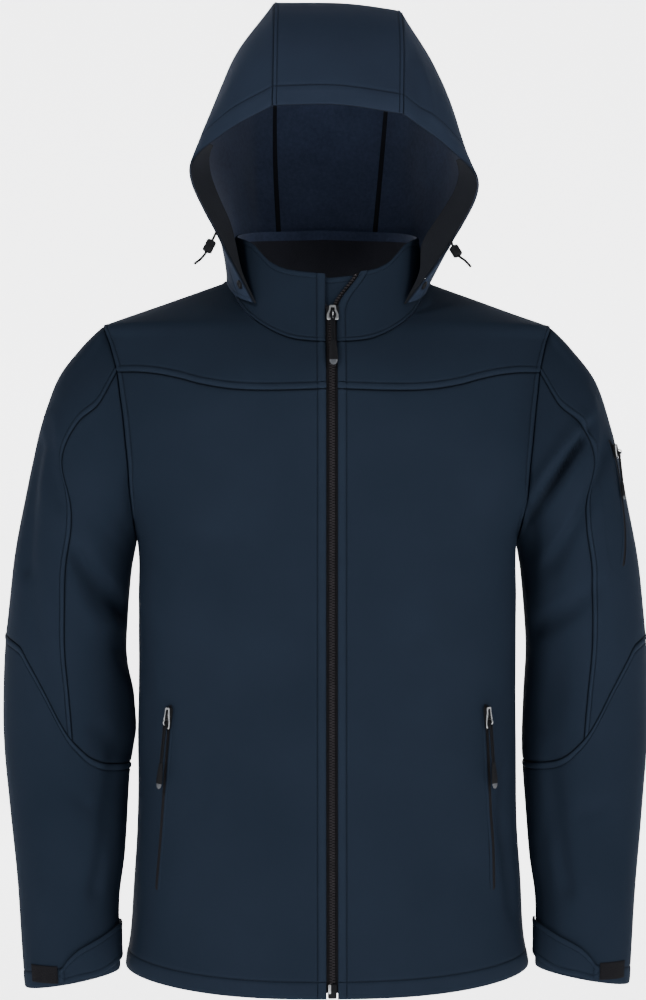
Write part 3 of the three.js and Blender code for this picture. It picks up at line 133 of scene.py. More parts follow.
SLEEVE_FOLDS = columns(
    "side row_a angle_a row_b angle_b depth width",
    (1, 3.2, 52, 5.6, 128, 5.5, 15), (1, 6.6, 88, 7.4, 150, 4, 12), (1, 10.4, 130, 12.6, 118, 4, 12),
    (-1, 3.4, 28, 6.2, 42, 4, 11), (-1, 9, 172, 9.6, 178, -6, 24), (-1, 5.6, 96, 7, 160, 5, 12),
    (-1, 10.4, 140, 12.6, 124, 4, 12), (1, 4.4, 300, 6.2, 235, 6, 13), (-1, 4.6, 296, 6.6, 232, 6, 13),
)
FOLD_ROW_LENGTH = 42
FOLD_DEGREE_LENGTH = 1.15

COLLAR_TOP_HALF = 93
COLLAR_TOP_FRONT = 90
COLLAR_TOP_BACK = 72
COLLAR_TURN_FRONT = 110
COLLAR_TURN_BACK = 66
COLLAR_COLUMNS = 24
COLLAR_MIDDLE = 12
COLLAR_TOP = columns(
    "angle z", (0, 0), (27, 6), (39, 14), (47, 24), (57, 35), (90, 46), (130, 55), (180, 60),
)
NECK_BAND_SHARE = 0.17
NECK_BAND_COLUMNS = (7.5, 5.5)
OPEN_FOLD_START = 0.4
OPEN_FOLD_ANGLE = 16

# Hood: one row for each section from the rim to the nape, with the centre line, the crown seam,
# three points down the side and the base
HOOD = {
    "top": [(0, -120, 163), (0, -76, 232), (0, -20, 274), (0, 40, 288), (0, 97, 244), (0, 124, 146),
            (0, 69.6, 5.4)],
    "crown": [(64, -114, 159), (65, -71, 226), (65, -18, 270), (65, 38, 284), (62, 92, 239),
              (58, 115, 142), (47.5, 61.7, 5.4)],
    "side": [(112, -94, 131), (111, -60, 180), (110, -13, 206), (105, 34, 214), (90, 81, 186),
             (75, 100, 113), (62, 55.5, 5.4)],
    "wide": [(144, -77, 97), (138, -45, 110), (131, -8, 122), (121, 28, 130), (103, 60, 118),
             (84, 78, 80), (74.5, 47.8, 5.4)],
    "low": [(115, -74, 33), (118, -44, 42), (117, -12, 48), (110, 18, 50), (102, 38, 45),
            (89, 52, 33), (85, 38.9, 5.4)],
    "base": [(77, -87, -28), (93, -63, -20), (101, -31, -7), (103, 0, 4.2), (101.8, 11.4, 5.4),
             (98.6, 21.6, 5.8), (93, 31.6, 6)],
}
HOOD_LEAN = 0.04
HOOD_SWAY = 5.5
HOOD_SWAY_TOP_Z = 100
HOOD_TILT = 0.06
HOOD_TILT_FULL_Z = 150

# Zips, and what lies behind the front edges
TAPE_INNER = 0.2
TAPE_OUTER = 17
TAPE_HIDDEN = 6
TAPE_THICK = 0.7
STRIP_THICK = 0.5
TAPE_TOP_SHARE = 0.985
ZIP_BOTTOM_Z = -700
ZIP_STOP_TOP = -691
ZIP_STOP_MIDDLE = -698
SLIDER_X = 1.5
SLIDER_SHARE = 0.412
NECK_SEAM_RISE = 70
TOOTH_PITCH = 1.35
TOOTH_REACH = 3.1
TOOTH_TALL = 1.9
TOOTH_DEEP = 1.5
TOOTH_SHIFT = 1.15
BRIDGE_RADIUS = 2.5
MERGE = 1e-6
RAY_START = 1000
FRONT_SLIDER = dict(seat=0.4, wide=12.5, narrow=8, tall=16, thick=4.2, stem=28, cord=1.1, end=26, end_wide=9,
                    plate=2.4, hinge=-2, lean=-3)
HAND_SLIDER = dict(seat=1.5, wide=9, narrow=6.5, tall=22, thick=3.6, stem=40, cord=0.95, end=26, end_wide=7.5,
                   plate=2.2, hinge=-4, lean=-2)
SLEEVE_SLIDER = dict(seat=2.2, wide=8, narrow=6, tall=14, thick=3.4, stem=30, cord=0.9, end=18, end_wide=6.5,
                     plate=2.2, hinge=-2, lean=3)
POCKET_TOP_Z = -424
POCKET_FOOT_Z = -607
POCKET_TOP_X = dict(right=157, left=153)
POCKET_FOOT_X = dict(right=171, left=161)
SLEEVE_ZIP = columns("row angle", (3.1, 34), (4.2, 32), (5.3, 39), (6.2, 53))
SLEEVE_POCKET_STITCHES = [
    (266, -185), (268, -203), (273, -222), (275, -250), (278, -279), (282, -292), (291, -300), (306, -300),
]
FLAP_FROM = -24
FLAP_TO = 46
FLAP_BEHIND = 3.4
FLAP_LEAN = 1.4
FLAP_MARGIN = 0.03

# How far the hood's facing turns in from the rim on each side, and how far it goes back
FACING_SET_IN = 3
FACING_TURN = columns(
    "across right left back",
    (2.33, 3, 3, 12), (3, 19, 19, 22), (3.6, 20, 27, 22), (4, 13, 26, 16), (4.5, 4, 9, 6), (5, 1, 1, 4),
)

# Cuffs and hood trim
CUFF_TAB = columns(
    "angle low high",
    (78, -697, -687), (83, -700, -683), (88, -699, -677), (101, -696, -667), (123, -693, -658),
    (156, -684, -648), (196, -678, -645),
)
CORD_RADIUS = 1.3
ROUTE_RIGHT = [(-112.7, -75, 42), (-116.5, -85.5, 33), (-122, -88, 22), (-127.5, -88.5, 15), (-134, -86.5, 10)]
ROUTE_LEFT = [(120.5, -75.3, 35), (121.5, -84.5, 28), (126.5, -88, 19), (133, -88.5, 14), (139, -86.5, 8)]

# Grid, borders and shading of the panels
SURVEY_COLUMNS = 181
SURVEY_ROWS = 161
SETTLING_ROUNDS = 4
FEWEST_STEPS = 4
SIDES = ("start", "end", "first", "last")
FAR = 1e9
CREASE_TURN = (-0.1, 0.3)
CREASE_FADE = 0.7
CALM_WIDTH = 9
PUCKER_HEIGHT = 0.13
PUCKER_FROM_EDGE = 7
PUCKER_ALONG = (4.3, 37)
PUCKER_ACROSS = (4.6, 31)
WALL_CRISP = 50
HARD_CRISP = 35
STUDIO_CRISP = 80

# Single stitches
STITCH_ENDS = 0.1
STITCH_LIFT = 0.12
STITCH_BENDS = (0, 0.25, 0.75, 1)
STITCH_RING = [(math.cos(a), math.sin(a)) for a in np.arange(4) * math.pi / 2 + math.pi / 4]

# Facings, collar lining and zip tapes
HOOD_SIDE_SPAN = (1, 5, 0, 6)
COLLAR_LINING_FOOT = 0.03
TAPE_LIFT = -CLOTH - 0.5
LINING_LIFT = -CLOTH - 0.4
TAPE_STEP = 3.0
TO_TIP = 7 / 3

# Teeth, bottom box and pin of the front zip
UPWARDS = (0, 0, 1)
COLLAR_INSIDE = (0, 0, -40)
TOOTH_SINK = -1.2
FRONT_STEP = 0.5
BESIDE_CENTRE = 0.001
CHAIN_ABOVE_SEAM = 0.005
CHAIN_BELOW_SLIDER = 0.08
OPEN_TEETH_FROM = 0.1
OPEN_TEETH_TO = 1.98
OPEN_TEETH_ACROSS = 0.09
BOX_SIZE = (8.6, 14, 1.4)
BOX_HALF = 1.3
BOX_BEVEL = 0.35
PIN_SIZE = (2.6, 9, 0.8)
PIN_DEPTHS = (1.2, 2.0, 0.3)
PIN_PLACE = dict(x=-2.6, z=2.4)

# Parts of a slider as shares of its own width and height, and from and to as shares of its thickness
SLIDER_BEVEL = 0.3
CORE = dict(wide=0.86, tall=0.92, low=0.3, high=0.68)
RIM = dict(wide=0.94, narrow=0.84, tall=0.96, low=0.62, bevel=0.35, strip=0.2)
RAIL = dict(wide=1.1, tall=0.55, corner=0.4, across=0.42, low=0.3, high=0.7, bevel=0.1)
BASE_PLATE_SHARE = 0.36
BRIDGE_WIRE = 0.62
BRIDGE_CLEAR = 0.3

# Pull: distance down the end in millimetres and as a share of its length, then shares of width and depth
GRIP_SECTIONS = [(0, 0, 0.5, 0.78), (1.2, 0, 0.62, 0.95), (4, 0, 0.7, 1), (0, 0.35, 0.86, 1), (0, 0.62, 1, 1),
                 (0, 0.8, 0.98, 0.95)]
TIP_SECTIONS = [(0, 0.8, 0.9, 0.8), (0, 0.88, 0.84, 0.75), (0, 0.96, 0.6, 0.6), (0, 1, 0.25, 0.3)]
GRIP_DEPTH = 1.1
RIB_PLACES = (0.34, 0.43, 0.52)
RIB_WIDE = (0.62, 0.66)
RIB_DEEP = (1.06, 1.22)
RIB_EDGE = 0.1
RIB_HALF = 0.5
CORD_SPREAD = 0.75

# Pockets: points along each zip, and the two welts in section
HAND_SLIDER_SHARE = 0.07
HAND_ZIP_POINTS = 60
SLEEVE_ZIP_POINTS = 49
SLEEVE_SLIDER_POINT = 6
SLEEVE_SLIDER_TOWARDS = 36
SLEEVE_INSIDE = (255, 0, -220)
WELT_HALF = [(4.6, 0.03), (4.1, 0.4), (3.2, 0.75), (2.4, 0.95), (1.8, 0.85), (1.4, 0.2), (0.4, 0.35)]
WELT_PROFILE = [(-across, height) for across, height in WELT_HALF] + WELT_HALF[::-1]
WELT_SLOTS = [0, 0, 0, 0, 1, 1, 1, 1, 1, 0, 0, 0, 0]

# Cuff tab and hook patch
CUFF_READ_ROW = 14.0
PATCH_ANGLES = (38, 76)
PATCH_HEIGHTS = (-700, -683)
TAB = dict(thick=2.0, lift=2.9, waves=0.3, step=2.5)
PATCH = dict(slot="hook_patch", thick=0.8, lift=1.15, waves=0, step=2.0)

# Press studs
STUD_PROFILE = [(4.6, 0), (4.5, 0.5), (4.0, 1.15), (3.0, 1.4), (1.9, 1.25), (1.5, 0.9), (0.1, 0.9)]
STUD_PLACE = (4.72, 0.22)
STUD_LIFT = 0.7
HOOD_MIDDLE = (0, 0, 60)

# Elastic cords, their locks and the bindings inside the hood
CORD_SIDES = 4
LOCK_HOLE = 2.2
LOCK_RADIUS = 5.0
BINDING_PROFILE = [(-2.6, 0.05), (-2.4, 0.8), (-1.6, 1.1), (0, 1.0), (1.6, 1.1), (2.4, 0.8), (2.6, 0.05)]
BINDING_DEEP = (0.25, 5.8)
BINDING_POINTS = 90
BINDING_ACROSS = 0.985
BINDING_LIFT = CLOTH + 0.2

# Studio, in metres
FLOOR_Z = -1.45
STUDIO_FRONT = -7.0
STUDIO_BACK = 8.0
STUDIO_TOP = 7.0
STUDIO_HALF = 8.0
STUDIO_CURVE = 1.6
STUDIO_BENDS = 12
PAPER_GLOW = 3.4
AIR_GLOW = 0.3
WHITE = (1.0, 1.0, 1.0, 1.0)
PAPER_SHADE = (0.93, 0.93, 0.93, 1.0)
LIGHTS = {
    "key": dict(place=(-2.2, -2.3, 1.9), size=1.1, power_watts=105),
    "fill": dict(place=(2.4, -2.2, 1.2), size=1.2, power_watts=70),
    "front": dict(place=(0.3, -3.6, 0.4), size=1.6, power_watts=22),
}

# Worked borders of the cloth: distance in from the edge and height there, with the rows of stitches
BORDERS = {
    "welt": ([0, 0.5, 1.2, 2.4, 4, 5.6, 6.4, 7, 7.6, 8.6, 11],
             [-1.4, -0.5, 0.4, 0.75, 0.75, 0.45, 0, -0.65, -0.25, 0.1, 0], [7]),
    "under": ([0, 0.6, 1.4, 2.6, 5], [-1.2, -0.55, -0.2, -0.05, 0], []),
    "hem": ([0, 0.5, 1.4, 3, 8, 13, 15.2, 16.4, 17, 17.6, 19, 22],
            [-0.7, -0.15, 0.1, 0.35, 0.45, 0.4, 0.25, -0.15, -0.6, -0.25, 0.08, 0], [17]),
    "placket": ([0, 0.4, 1, 2.4, 5, 7, 8, 8.6, 9.2, 10, 12],
                [-0.6, -0.1, 0.3, 0.6, 0.6, 0.4, -0.1, -0.6, -0.2, 0.08, 0], [8.6]),
    "narrow": ([0, 0.5, 1.1, 2, 3, 3.5, 4, 4.5, 5.4, 7],
               [-1.3, -0.4, 0.3, 0.45, 0.2, -0.2, -0.5, -0.2, 0.08, 0], [4]),
    "brim": ([0, 0.5, 1.4, 3, 8, 16, 22, 23.4, 24, 24.6, 26, 30],
             [-0.7, -0.15, 0.15, 0.4, 0.45, 0.4, 0.3, -0.2, -0.7, -0.35, 0.08, 0], [24]),
    "edge": ([0, 0.4, 1, 2.4, 5, 5.6, 6.2, 7.4, 10],
             [-0.6, -0.1, 0.15, 0.3, 0.15, -0.3, -0.1, 0.05, 0], [5.6]),
    "plain": ([0, 0.4, 1.2], [-0.3, -0.05, 0], []),
}
# Folds deeper than DEEP_FOLD millimetres also go into the cloth's colour: painted shade in their troughs,
# painted highlight on their ridges
DEEP_FOLD = 2.5
DEEP_FOLD_PAINTED_SHADE_AND_HIGHLIGHT = 0.07
STITCH_PITCH = 3.2
STITCH_LENGTH = 2.4
STITCH_RADIUS = 0.26

# Creases of the worn cloth as the front shows them: depth (below zero for a ridge), half width,
# then places across and up
FRONT_CREASES = [
    (-2.0, 7, [(-276, -126), (-282, -139), (-286, -163), (-286, -242)]),
    (-1.8, 6, [(-273, -131), (-271, -155), (-272, -174)]),
    (2.8, 7, [(-278, -150), (-277, -194), (-272, -218), (-266, -236)]),
    (3.0, 10, [(-294, -225), (-297, -278), (-297, -315), (-291, -353), (-281, -383), (-272, -408),
               (-264, -430)]),
    (4.4, 11, [(-254, -262), (-240, -297), (-227, -319), (-214, -330), (-198, -338)]),
    (-2.4, 11, [(-262, -290), (-248, -322), (-232, -345), (-212, -356)]),
    (3.0, 9, [(-210, -345), (-209, -371), (-198, -400)]),
    (3.4, 12, [(-238, -440), (-218, -466), (-198, -484)]),
    (3.4, 9, [(-207, -492), (-215, -547), (-213, -607), (-214, -652)]),
    (1.6, 9, [(-262, -505), (-240, -528), (-218, -536)]),
    (-1.4, 10, [(-285, -540), (-282, -600), (-278, -650)]),
    (-2.6, 7, [(255, -95), (265, -121), (266, -163), (262, -182), (254, -202)]),
    (-7.5, 8, [(262, -132), (250, -148), (236, -166), (222, -186), (206, -210), (188, -238)]),
    (12.0, 6, [(266, -142), (252, -162), (239, -179), (227, -197), (211, -221), (192, -252)]),
    (4.2, 9, [(205, -225), (203, -270), (204, -320)]),
    (3.2, 10, [(254, -325), (229, -341), (212, -360)]),
    (-1.4, 10, [(252, -310), (232, -326), (214, -340)]),
    (3.8, 14, [(232, -375), (226, -420), (218, -462)]),
    (3.4, 9, [(223, -515), (214, -573), (216, -633), (218, -660)]),
    (1.4, 9, [(285, -520), (262, -535), (240, -540)]),
    (-1.4, 10, [(300, -540), (297, -600), (292, -650)]),
    (1.8, 10, [(-182, -265), (-175, -299), (-165, -325)]),
    (2.8, 8, [(-186, -330), (-185, -373), (-180, -425), (-180, -459), (-182, -532), (-178, -600)]),
    (5.0, 7, [(180, -440), (173, -487), (168, -532), (174, -570), (181, -625), (188, -650)]),
    (-2.0, 7, [(166, -500), (161, -560), (168, -620)]),
    (1.1, 14, [(-150, -250), (-120, -262), (-86, -258)]),
    (1.1, 14, [(150, -262), (118, -276), (84, -272)]),
    (-0.9, 16, [(-120, -470), (-92, -540), (-70, -640)]),
    (0.9, 16, [(118, -480), (90, -560), (72, -650)]),
]
BACK_CREASES = [
    (2.2, 14, [(-190, -250), (-160, -285), (-120, -300)]),
    (2.2, 14, [(190, -255), (158, -292), (122, -310)]),
    (-1.4, 16, [(-150, -240), (-110, -262), (-66, -268)]),
    (-1.4, 16, [(150, -246), (106, -270), (60, -274)]),
    (1.6, 18, [(-150, -430), (-90, -452), (-20, -440)]),
    (1.4, 18, [(30, -470), (90, -486), (150, -470)]),
    (1.2, 16, [(-60, -140), (0, -150), (60, -140)]),
    (3.0, 12, [(-300, -330), (-268, -352), (-232, -352)]),
    (3.0, 12, [(300, -336), (268, -356), (230, -362)]),
    (2.2, 12, [(-290, -380), (-262, -404), (-224, -410)]),
    (2.2, 12, [(292, -392), (262, -414), (226, -420)]),
    (1.6, 10, [(-288, -540), (-262, -556), (-236, -552)]),
    (1.6, 10, [(286, -548), (262, -562), (236, -560)]),
]
HOOD_CREASES = [
    (-1.8, 5, [(89, 228), (97, 192), (101, 157), (129, 127)]),
    (2.0, 9, [(78, 224), (86, 190), (89, 155)]),
    (1.6, 10, [(-96, 232), (-112, 188), (-128, 150)]),
    (1.6, 7, [(-81, 66), (-81, 45), (-84, 28)]),
    (-1.4, 5, [(78, 128), (88, 96), (93, 72), (93, 30)]),
]


def look_up(table, key, column, value):
    """Smooth curve through one column of a table"""
    xs, ys = table[key], table[column]
    slopes = np.empty_like(ys)
    slopes[1:-1] = (ys[2:] - ys[:-2]) / (xs[2:] - xs[:-2])
    slopes[0] = (ys[1] - ys[0]) / (xs[1] - xs[0])
    slopes[-1] = (ys[-1] - ys[-2]) / (xs[-1] - xs[-2])
    value = np.asarray(value, float)
    i = np.clip(np.searchsorted(xs, value, "right") - 1, 0, len(xs) - 2)
    span = xs[i + 1] - xs[i]
    t = (value - xs[i]) / span
    s = np.clip(t, 0, 1)
    bend = (2 * s**3 - 3 * s**2 + 1) * ys[i] + (s**3 - 2 * s**2 + s) * span * slopes[i]
    bend += (3 * s**2 - 2 * s**3) * ys[i + 1] + (s**3 - s**2) * span * slopes[i + 1]
    past = np.where(t < 0, slopes[i] * t * span, np.where(t > 1, slopes[i + 1] * (t - 1) * span, 0))
    return bend + past


def mix(a, b, t):
    return a + (b - a) * t


def ease(value, start, end):
    t = np.clip((value - start) / (end - start), 0, 1)
    return t * t * (3 - 2 * t)


def power(value, exponent):
    return np.sign(value) * np.abs(value) ** exponent


def sine(degrees):
    return np.sin(np.radians(degrees))


def cosine(degrees):
    return np.cos(np.radians(degrees))


def points(x, y, z):
    return np.stack(np.broadcast_arrays(x, y, z), axis=-1).astype(float)


def mirrored(p, side):
    return p * np.array([side, 1, 1])


# Body: angle 0 in front, 90 at the side and 180 behind

def body_half(z):
    slope = NECK_HALF + (SHOULDER_HALF - NECK_HALF) * (-z / SHOULDER_DROP)
    return np.where(z > -SHOULDER_DROP, slope, look_up(BODY_RINGS, "z", "half", z))


def body_point(angle, z):
    rounding = look_up(BODY_RINGS, "z", "round", z)
    c = cosine(angle)
    front, back = (look_up(BODY_RINGS, "z", name, z) for name in ("front", "back"))
    x = body_half(z) * power(sine(angle), rounding)
    return points(x, -np.where(c > 0, front, back) * power(c, rounding), z)


def body_angle(x, z):
    rounding = look_up(BODY_RINGS, "z", "round", z)
    share = np.clip(x / body_half(z), 0, 1)
    return np.degrees(np.arcsin(share ** (1 / rounding)))


def armhole_angle(step):
    low = mix(180, YOKE_ARMHOLE_ANGLE, step / CHEST_ROWS)
    return np.where(step <= CHEST_ROWS, low, mix(YOKE_ARMHOLE_ANGLE, 0, (step - CHEST_ROWS) / SHOULDER_ROWS))


def armhole_z(angle):
    return (ARMPIT_Z - SHOULDER_DROP) / 2 + (-ARMPIT_Z - SHOULDER_DROP) / 2 * cosine(angle)


def armhole_spot(step):
    z = armhole_z(armhole_angle(step))
    return body_angle(look_up(ARMHOLE, "z", "x", z), z), z


def across_share(column):
    wide = mix(NECK_SHARE, 1, (column - NECK_COLUMNS) / (COLUMNS - NECK_COLUMNS))
    return np.where(column <= NECK_COLUMNS, NECK_SHARE * column / NECK_COLUMNS, wide)


def edge_angle(z, back):
    return 0 * z if back else body_angle(FRONT_EDGE, z)


def yoke_spot(column, back):
    side_angle, side_z = armhole_spot(CHEST_ROWS)
    share = across_share(column)
    side_x = body_point(side_angle, side_z)[..., 0]
    z = np.full(np.shape(column), YOKE_SEAM["z"][0])
    for _ in range(4):
        angle = mix(edge_angle(z, back), side_angle, share)
        x = body_point(angle, z)[..., 0]
        meet = side_z - look_up(YOKE_SEAM, "x", "z", side_x)
        z = look_up(YOKE_SEAM, "x", "z", x) + meet * share**8
    return angle, z


def top_spot(column, back):
    share = np.clip(column / NECK_COLUMNS, 0, 1)
    x = mix(FRONT_EDGE, NECK_HALF, sine(90 * share))
    z = look_up(NECK_SEAM, "x", "z", x)
    shoulder = (column - NECK_COLUMNS) / (COLUMNS - NECK_COLUMNS)
    on_shoulder = column >= NECK_COLUMNS
    neck_z = 0 * z if back else z
    neck_angle = 90 * share if back else body_angle(x, z)
    return np.where(on_shoulder, 90, neck_angle), np.where(on_shoulder, -SHOULDER_DROP * shoulder, neck_z)


def hem_z(angle):
    end = np.where(angle < 90, HEM_FRONT_Z, HEM_BACK_Z)
    return mix(HEM_SIDE_Z, end, cosine(angle) ** 2)


def skirt_spot(column, row, back):
    turn = 90 * across_share(column)
    z = mix(hem_z(180 - turn if back else turn), ARMPIT_Z, row / SKIRT_ROWS)
    return mix(edge_angle(z, back), 90, across_share(column)), z


def chest_spot(column, row, back):
    share = across_share(column)
    top_z = yoke_spot(column, back)[1]
    side_angle, side_z = armhole_spot(row)
    rise = (side_z - ARMPIT_Z) / (armhole_spot(CHEST_ROWS)[1] - ARMPIT_Z)
    z = mix(ARMPIT_Z, top_z, mix(row / CHEST_ROWS, rise, share**2))
    return mix(edge_angle(z, back), side_angle, share), z


def shoulder_spot(column, row, back):
    share = across_share(column)
    low_angle, low_z = yoke_spot(column, back)
    high_angle, high_z = top_spot(column, back)
    t = row / SHOULDER_ROWS
    rise = mix(t, sine(90 * t), np.minimum(1, column / NECK_COLUMNS) ** 2)
    side_angle, side_z = armhole_spot(CHEST_ROWS + row)
    low_side_angle, low_side_z = armhole_spot(CHEST_ROWS)
    pull = share**3
    z = mix(low_z, high_z, rise) + pull * (side_z - mix(low_side_z, -SHOULDER_DROP, rise))

    def x_at(angle, height):
        return body_point(angle, height)[..., 0]

    reach = x_at(side_angle, side_z) - mix(x_at(low_side_angle, low_side_z), SHOULDER_HALF, t)
    x = mix(x_at(low_angle, low_z), x_at(high_angle, high_z), t) + pull * reach
    return np.where(row >= SHOULDER_ROWS - TINY, high_angle, body_angle(x, z)), z


def body_surface(column, row, side, back=False):
    """Point of one half of the body by column and row, with the rows counted up from the hem"""
    skirt = skirt_spot(column, np.minimum(row, SKIRT_ROWS), back)
    chest = chest_spot(column, np.clip(row - SKIRT_ROWS, 0, CHEST_ROWS), back)
    high = shoulder_spot(column, np.clip(row - YOKE_ROW, 0, SHOULDER_ROWS), back)
    spot = [np.where(row < SKIRT_ROWS, a, np.where(row < YOKE_ROW, b, c))
            for a, b, c in zip(skirt, chest, high)]
    angle = 180 - spot[0] if back else spot[0]
    return mirrored(body_point(angle, spot[1]), side)


def back_surface(index, row):
    side = np.where(index < COLUMNS, -1.0, 1.0)[..., None]
    p = body_surface(np.abs(index - COLUMNS), row, 1, back=True)
    return p * np.concatenate([side, np.ones_like(side), np.ones_like(side)], axis=-1)


# Sleeve: angle 0 at the outer edge, 90 in front and 180 inside

def column_angle(column):
    column = np.mod(column, SLEEVE_COLUMNS)
    behind = column > SLEEVE_COLUMNS / 2
    return np.where(behind, -armhole_angle(SLEEVE_COLUMNS - column), armhole_angle(column))


def sleeve_angle(base, row):
    seam = look_up(SLEEVE_RINGS, "row", "seam", row)
    start = SLEEVE_RINGS["seam"][0]
    inner = np.sign(base) * (180 - (180 - np.abs(base)) * (180 - seam) / (180 - start))
    return np.where(np.abs(base) <= start, base * seam / start, inner)


def base_of_angle(angle, row):
    seam = look_up(SLEEVE_RINGS, "row", "seam", row)
    start = SLEEVE_RINGS["seam"][0]
    inner = np.sign(angle) * (180 - (180 - np.abs(angle)) * (180 - start) / (180 - seam))
    return np.where(np.abs(angle) <= seam, angle * start / seam, inner)


def ring_point(row, angle):
    read = {name: look_up(SLEEVE_RINGS, "row", name, row) for name in SLEEVE_RINGS if name != "row"}
    along = (1 + cosine(angle)) / 2
    x = mix(read["inner_x"], read["outer_x"], along)
    z = mix(read["inner_z"], read["outer_z"], along)
    return points(x, read["y"] - read["depth"] * sine(angle), z)


def armhole_offset(base):
    z = armhole_z(base)
    angle = body_angle(look_up(ARMHOLE, "z", "x", z), z)
    return body_point(np.where(base < 0, 180 - angle, angle), z) - ring_point(0 * base, base)


def fold_depth(side, row, angle):
    depth = 0 * angle
    px, py = row * FOLD_ROW_LENGTH, angle * FOLD_DEGREE_LENGTH
    for k in np.flatnonzero(SLEEVE_FOLDS["side"] == side):
        fold = {name: column[k] for name, column in SLEEVE_FOLDS.items()}
        ax, ay = fold["row_a"] * FOLD_ROW_LENGTH, fold["angle_a"] * FOLD_DEGREE_LENGTH
        bx, by = fold["row_b"] * FOLD_ROW_LENGTH, fold["angle_b"] * FOLD_DEGREE_LENGTH
        away = distance_to_segment(px, py, (ax, ay), (bx, by))[0] / fold["width"]
        depth = depth + fold["depth"] * np.exp(-(away**2))
    return depth


def distance_to_segment(px, py, a, b):
    dx, dy = b[0] - a[0], b[1] - a[1]
    share = np.clip(((px - a[0]) * dx + (py - a[1]) * dy) / (dx * dx + dy * dy), 0, 1)
    return np.hypot(px - a[0] - share * dx, py - a[1] - share * dy), share


def sleeve_point(base, row, side):
    angle = sleeve_angle(base, row)
    p = ring_point(row, angle)
    fade = np.maximum(0, 1 - row / 4) ** 2
    p = p + armhole_offset(base) * fade[..., None]
    centre = (ring_point(row, 90 + 0 * row) + ring_point(row, -90 + 0 * row)) / 2
    inward = centre - p
    inward /= np.linalg.norm(inward, axis=-1, keepdims=True)
    p = p + inward * (fold_depth(side, row, angle) * ease(row, 0, 2))[..., None]
    return mirrored(p, side)


def row_at_height(base, height_at):
    low, high = np.full(np.shape(base), 6.0), np.full(np.shape(base), float(CUFF_ROW))
    for _ in range(22):
        row = (low + high) / 2
        angle = sleeve_angle(base, row)
        above = ring_point(row, angle)[..., 2] > height_at(np.abs(angle))
        low, high = np.where(above, row, low), np.where(above, high, row)
    return (low + high) / 2


def elbow_row(base):
    return row_at_height(base, lambda angle: look_up(ELBOW_SEAM, "angle", "z", angle))


def upper_sleeve_surface(column, step, side):
    base = column_angle(column)
    return sleeve_point(base, elbow_row(base) * step / UPPER_SLEEVE_ROWS, side)


def forearm_surface(column, share, side):
    base = column_angle(np.clip(column, 0.0001, SLEEVE_COLUMNS - 0.0001))
    return sleeve_point(base, mix(elbow_row(base), CUFF_ROW, share), side)


# Collar: columns run from the right front edge round the back to the left front edge

def neck_seam_point(column, back):
    angle, z = top_spot(column, back)
    return body_point(180 - angle if back else angle, z)


def collar_point(base, share, side, fold):
    depth = np.where(base[..., 1] < 0, COLLAR_TURN_FRONT, COLLAR_TURN_BACK)
    angle = np.degrees(np.arctan2(base[..., 0] / NECK_HALF, -base[..., 1] / depth))
    front = angle < 90
    angle = angle + np.where(front, fold * ease(share, OPEN_FOLD_START, 1) * (1 - angle / 90), 0)
    deep = np.where(angle < 90, COLLAR_TOP_FRONT, COLLAR_TOP_BACK)
    top = points(COLLAR_TOP_HALF * sine(angle), -deep * cosine(angle),
                 look_up(COLLAR_TOP, "angle", "z", np.abs(angle)))
    p = base + (top - base) * share[..., None]
    p[..., 0] *= side
    return p


def collar_surface(index, share):
    back = (index >= NECK_COLUMNS) & (index < 3 * NECK_COLUMNS)
    column = np.where(index < COLLAR_MIDDLE, index, COLLAR_COLUMNS - index)
    column = np.where(back, COLLAR_MIDDLE - column, column)
    base = np.where(back[..., None], neck_seam_point(column, True), neck_seam_point(column, False))
    side = np.where(index < COLLAR_MIDDLE, -1.0, 1.0)
    return collar_point(base, share, side, np.where(side > 0, OPEN_FOLD_ANGLE, 0))


def collar_front_point(x, share):
    z = look_up(NECK_SEAM, "x", "z", np.abs(x))
    base = body_point(body_angle(np.abs(x), z), z)
    return collar_point(base, share, np.where(x < 0, -1.0, 1.0), 0 * x)


# Hood: across from 1 at the crown seam to 5 at the base, and deep from 0 at the rim to 6 at the nape

def bent(a, b, c, d, t):
    return b + t * (c - a + t * (2 * a - 5 * b + 4 * c - d + t * (3 * (b - c) + d - a))) / 2


def along_points(nodes, at):
    """Smooth curve through points on the first axis, by index, with the other axes carried along"""
    last = len(nodes) - 1
    padded = np.concatenate([[2 * nodes[0] - nodes[1]], nodes, [2 * nodes[last] - nodes[last - 1]]])
    i = np.clip(np.floor(at), 0, last - 1).astype(int)
    t = (at - i)[..., None]
    if nodes.ndim > 2:
        spots = np.indices(at.shape)
        a, b, c, d = (padded[(i + k, *spots)] for k in range(4))
    else:
        a, b, c, d = (padded[i + k] for k in range(4))
    return bent(a, b, c, d, t)


def hood_control(names, side):
    """Sections by point: the sign of each follows its side, and the hood leans to its left"""
    rows = []
    for name in names:
        own = np.array(HOOD[name.lstrip("-")], float)
        outward = own[:, 0] * (-side if name.startswith("-") else side)
        z = own[:, 2]
        sway = HOOD_LEAN * np.maximum(0, z) + HOOD_SWAY * np.sin(np.pi * np.clip(z / HOOD_SWAY_TOP_Z, 0, 1))
        tilt = HOOD_TILT * outward * ease(z, 0, HOOD_TILT_FULL_Z)
        rows.append(points(outward + sway, own[:, 1], z - tilt))
    return np.array(rows)


def hood_surface(names, across, deep, side):
    control = hood_control(names, side)
    sections = np.array([along_points(control[:, k], across) for k in range(control.shape[1])])
    return along_points(sections, deep)


def hood_centre_surface(across, deep):
    return hood_surface(["-crown", "top", "crown"], across + 1, deep, 1)


def hood_side_surface(across, deep, side):
    return hood_surface(["crown", "side", "wide", "low", "base"], across - 1, deep, side)


# Cloth panels


def borders(style, **others):
    """Styles of a panel's four borders: one style all round, apart from those named"""
    return {**dict.fromkeys(SIDES, style), **others}


def path_lengths(p, axis):
    steps = np.linalg.norm(np.diff(p, axis=axis), axis=-1)
    start = np.zeros_like(np.take(steps, [0], axis=axis))
    return np.concatenate([start, np.cumsum(steps, axis=axis)], axis=axis)


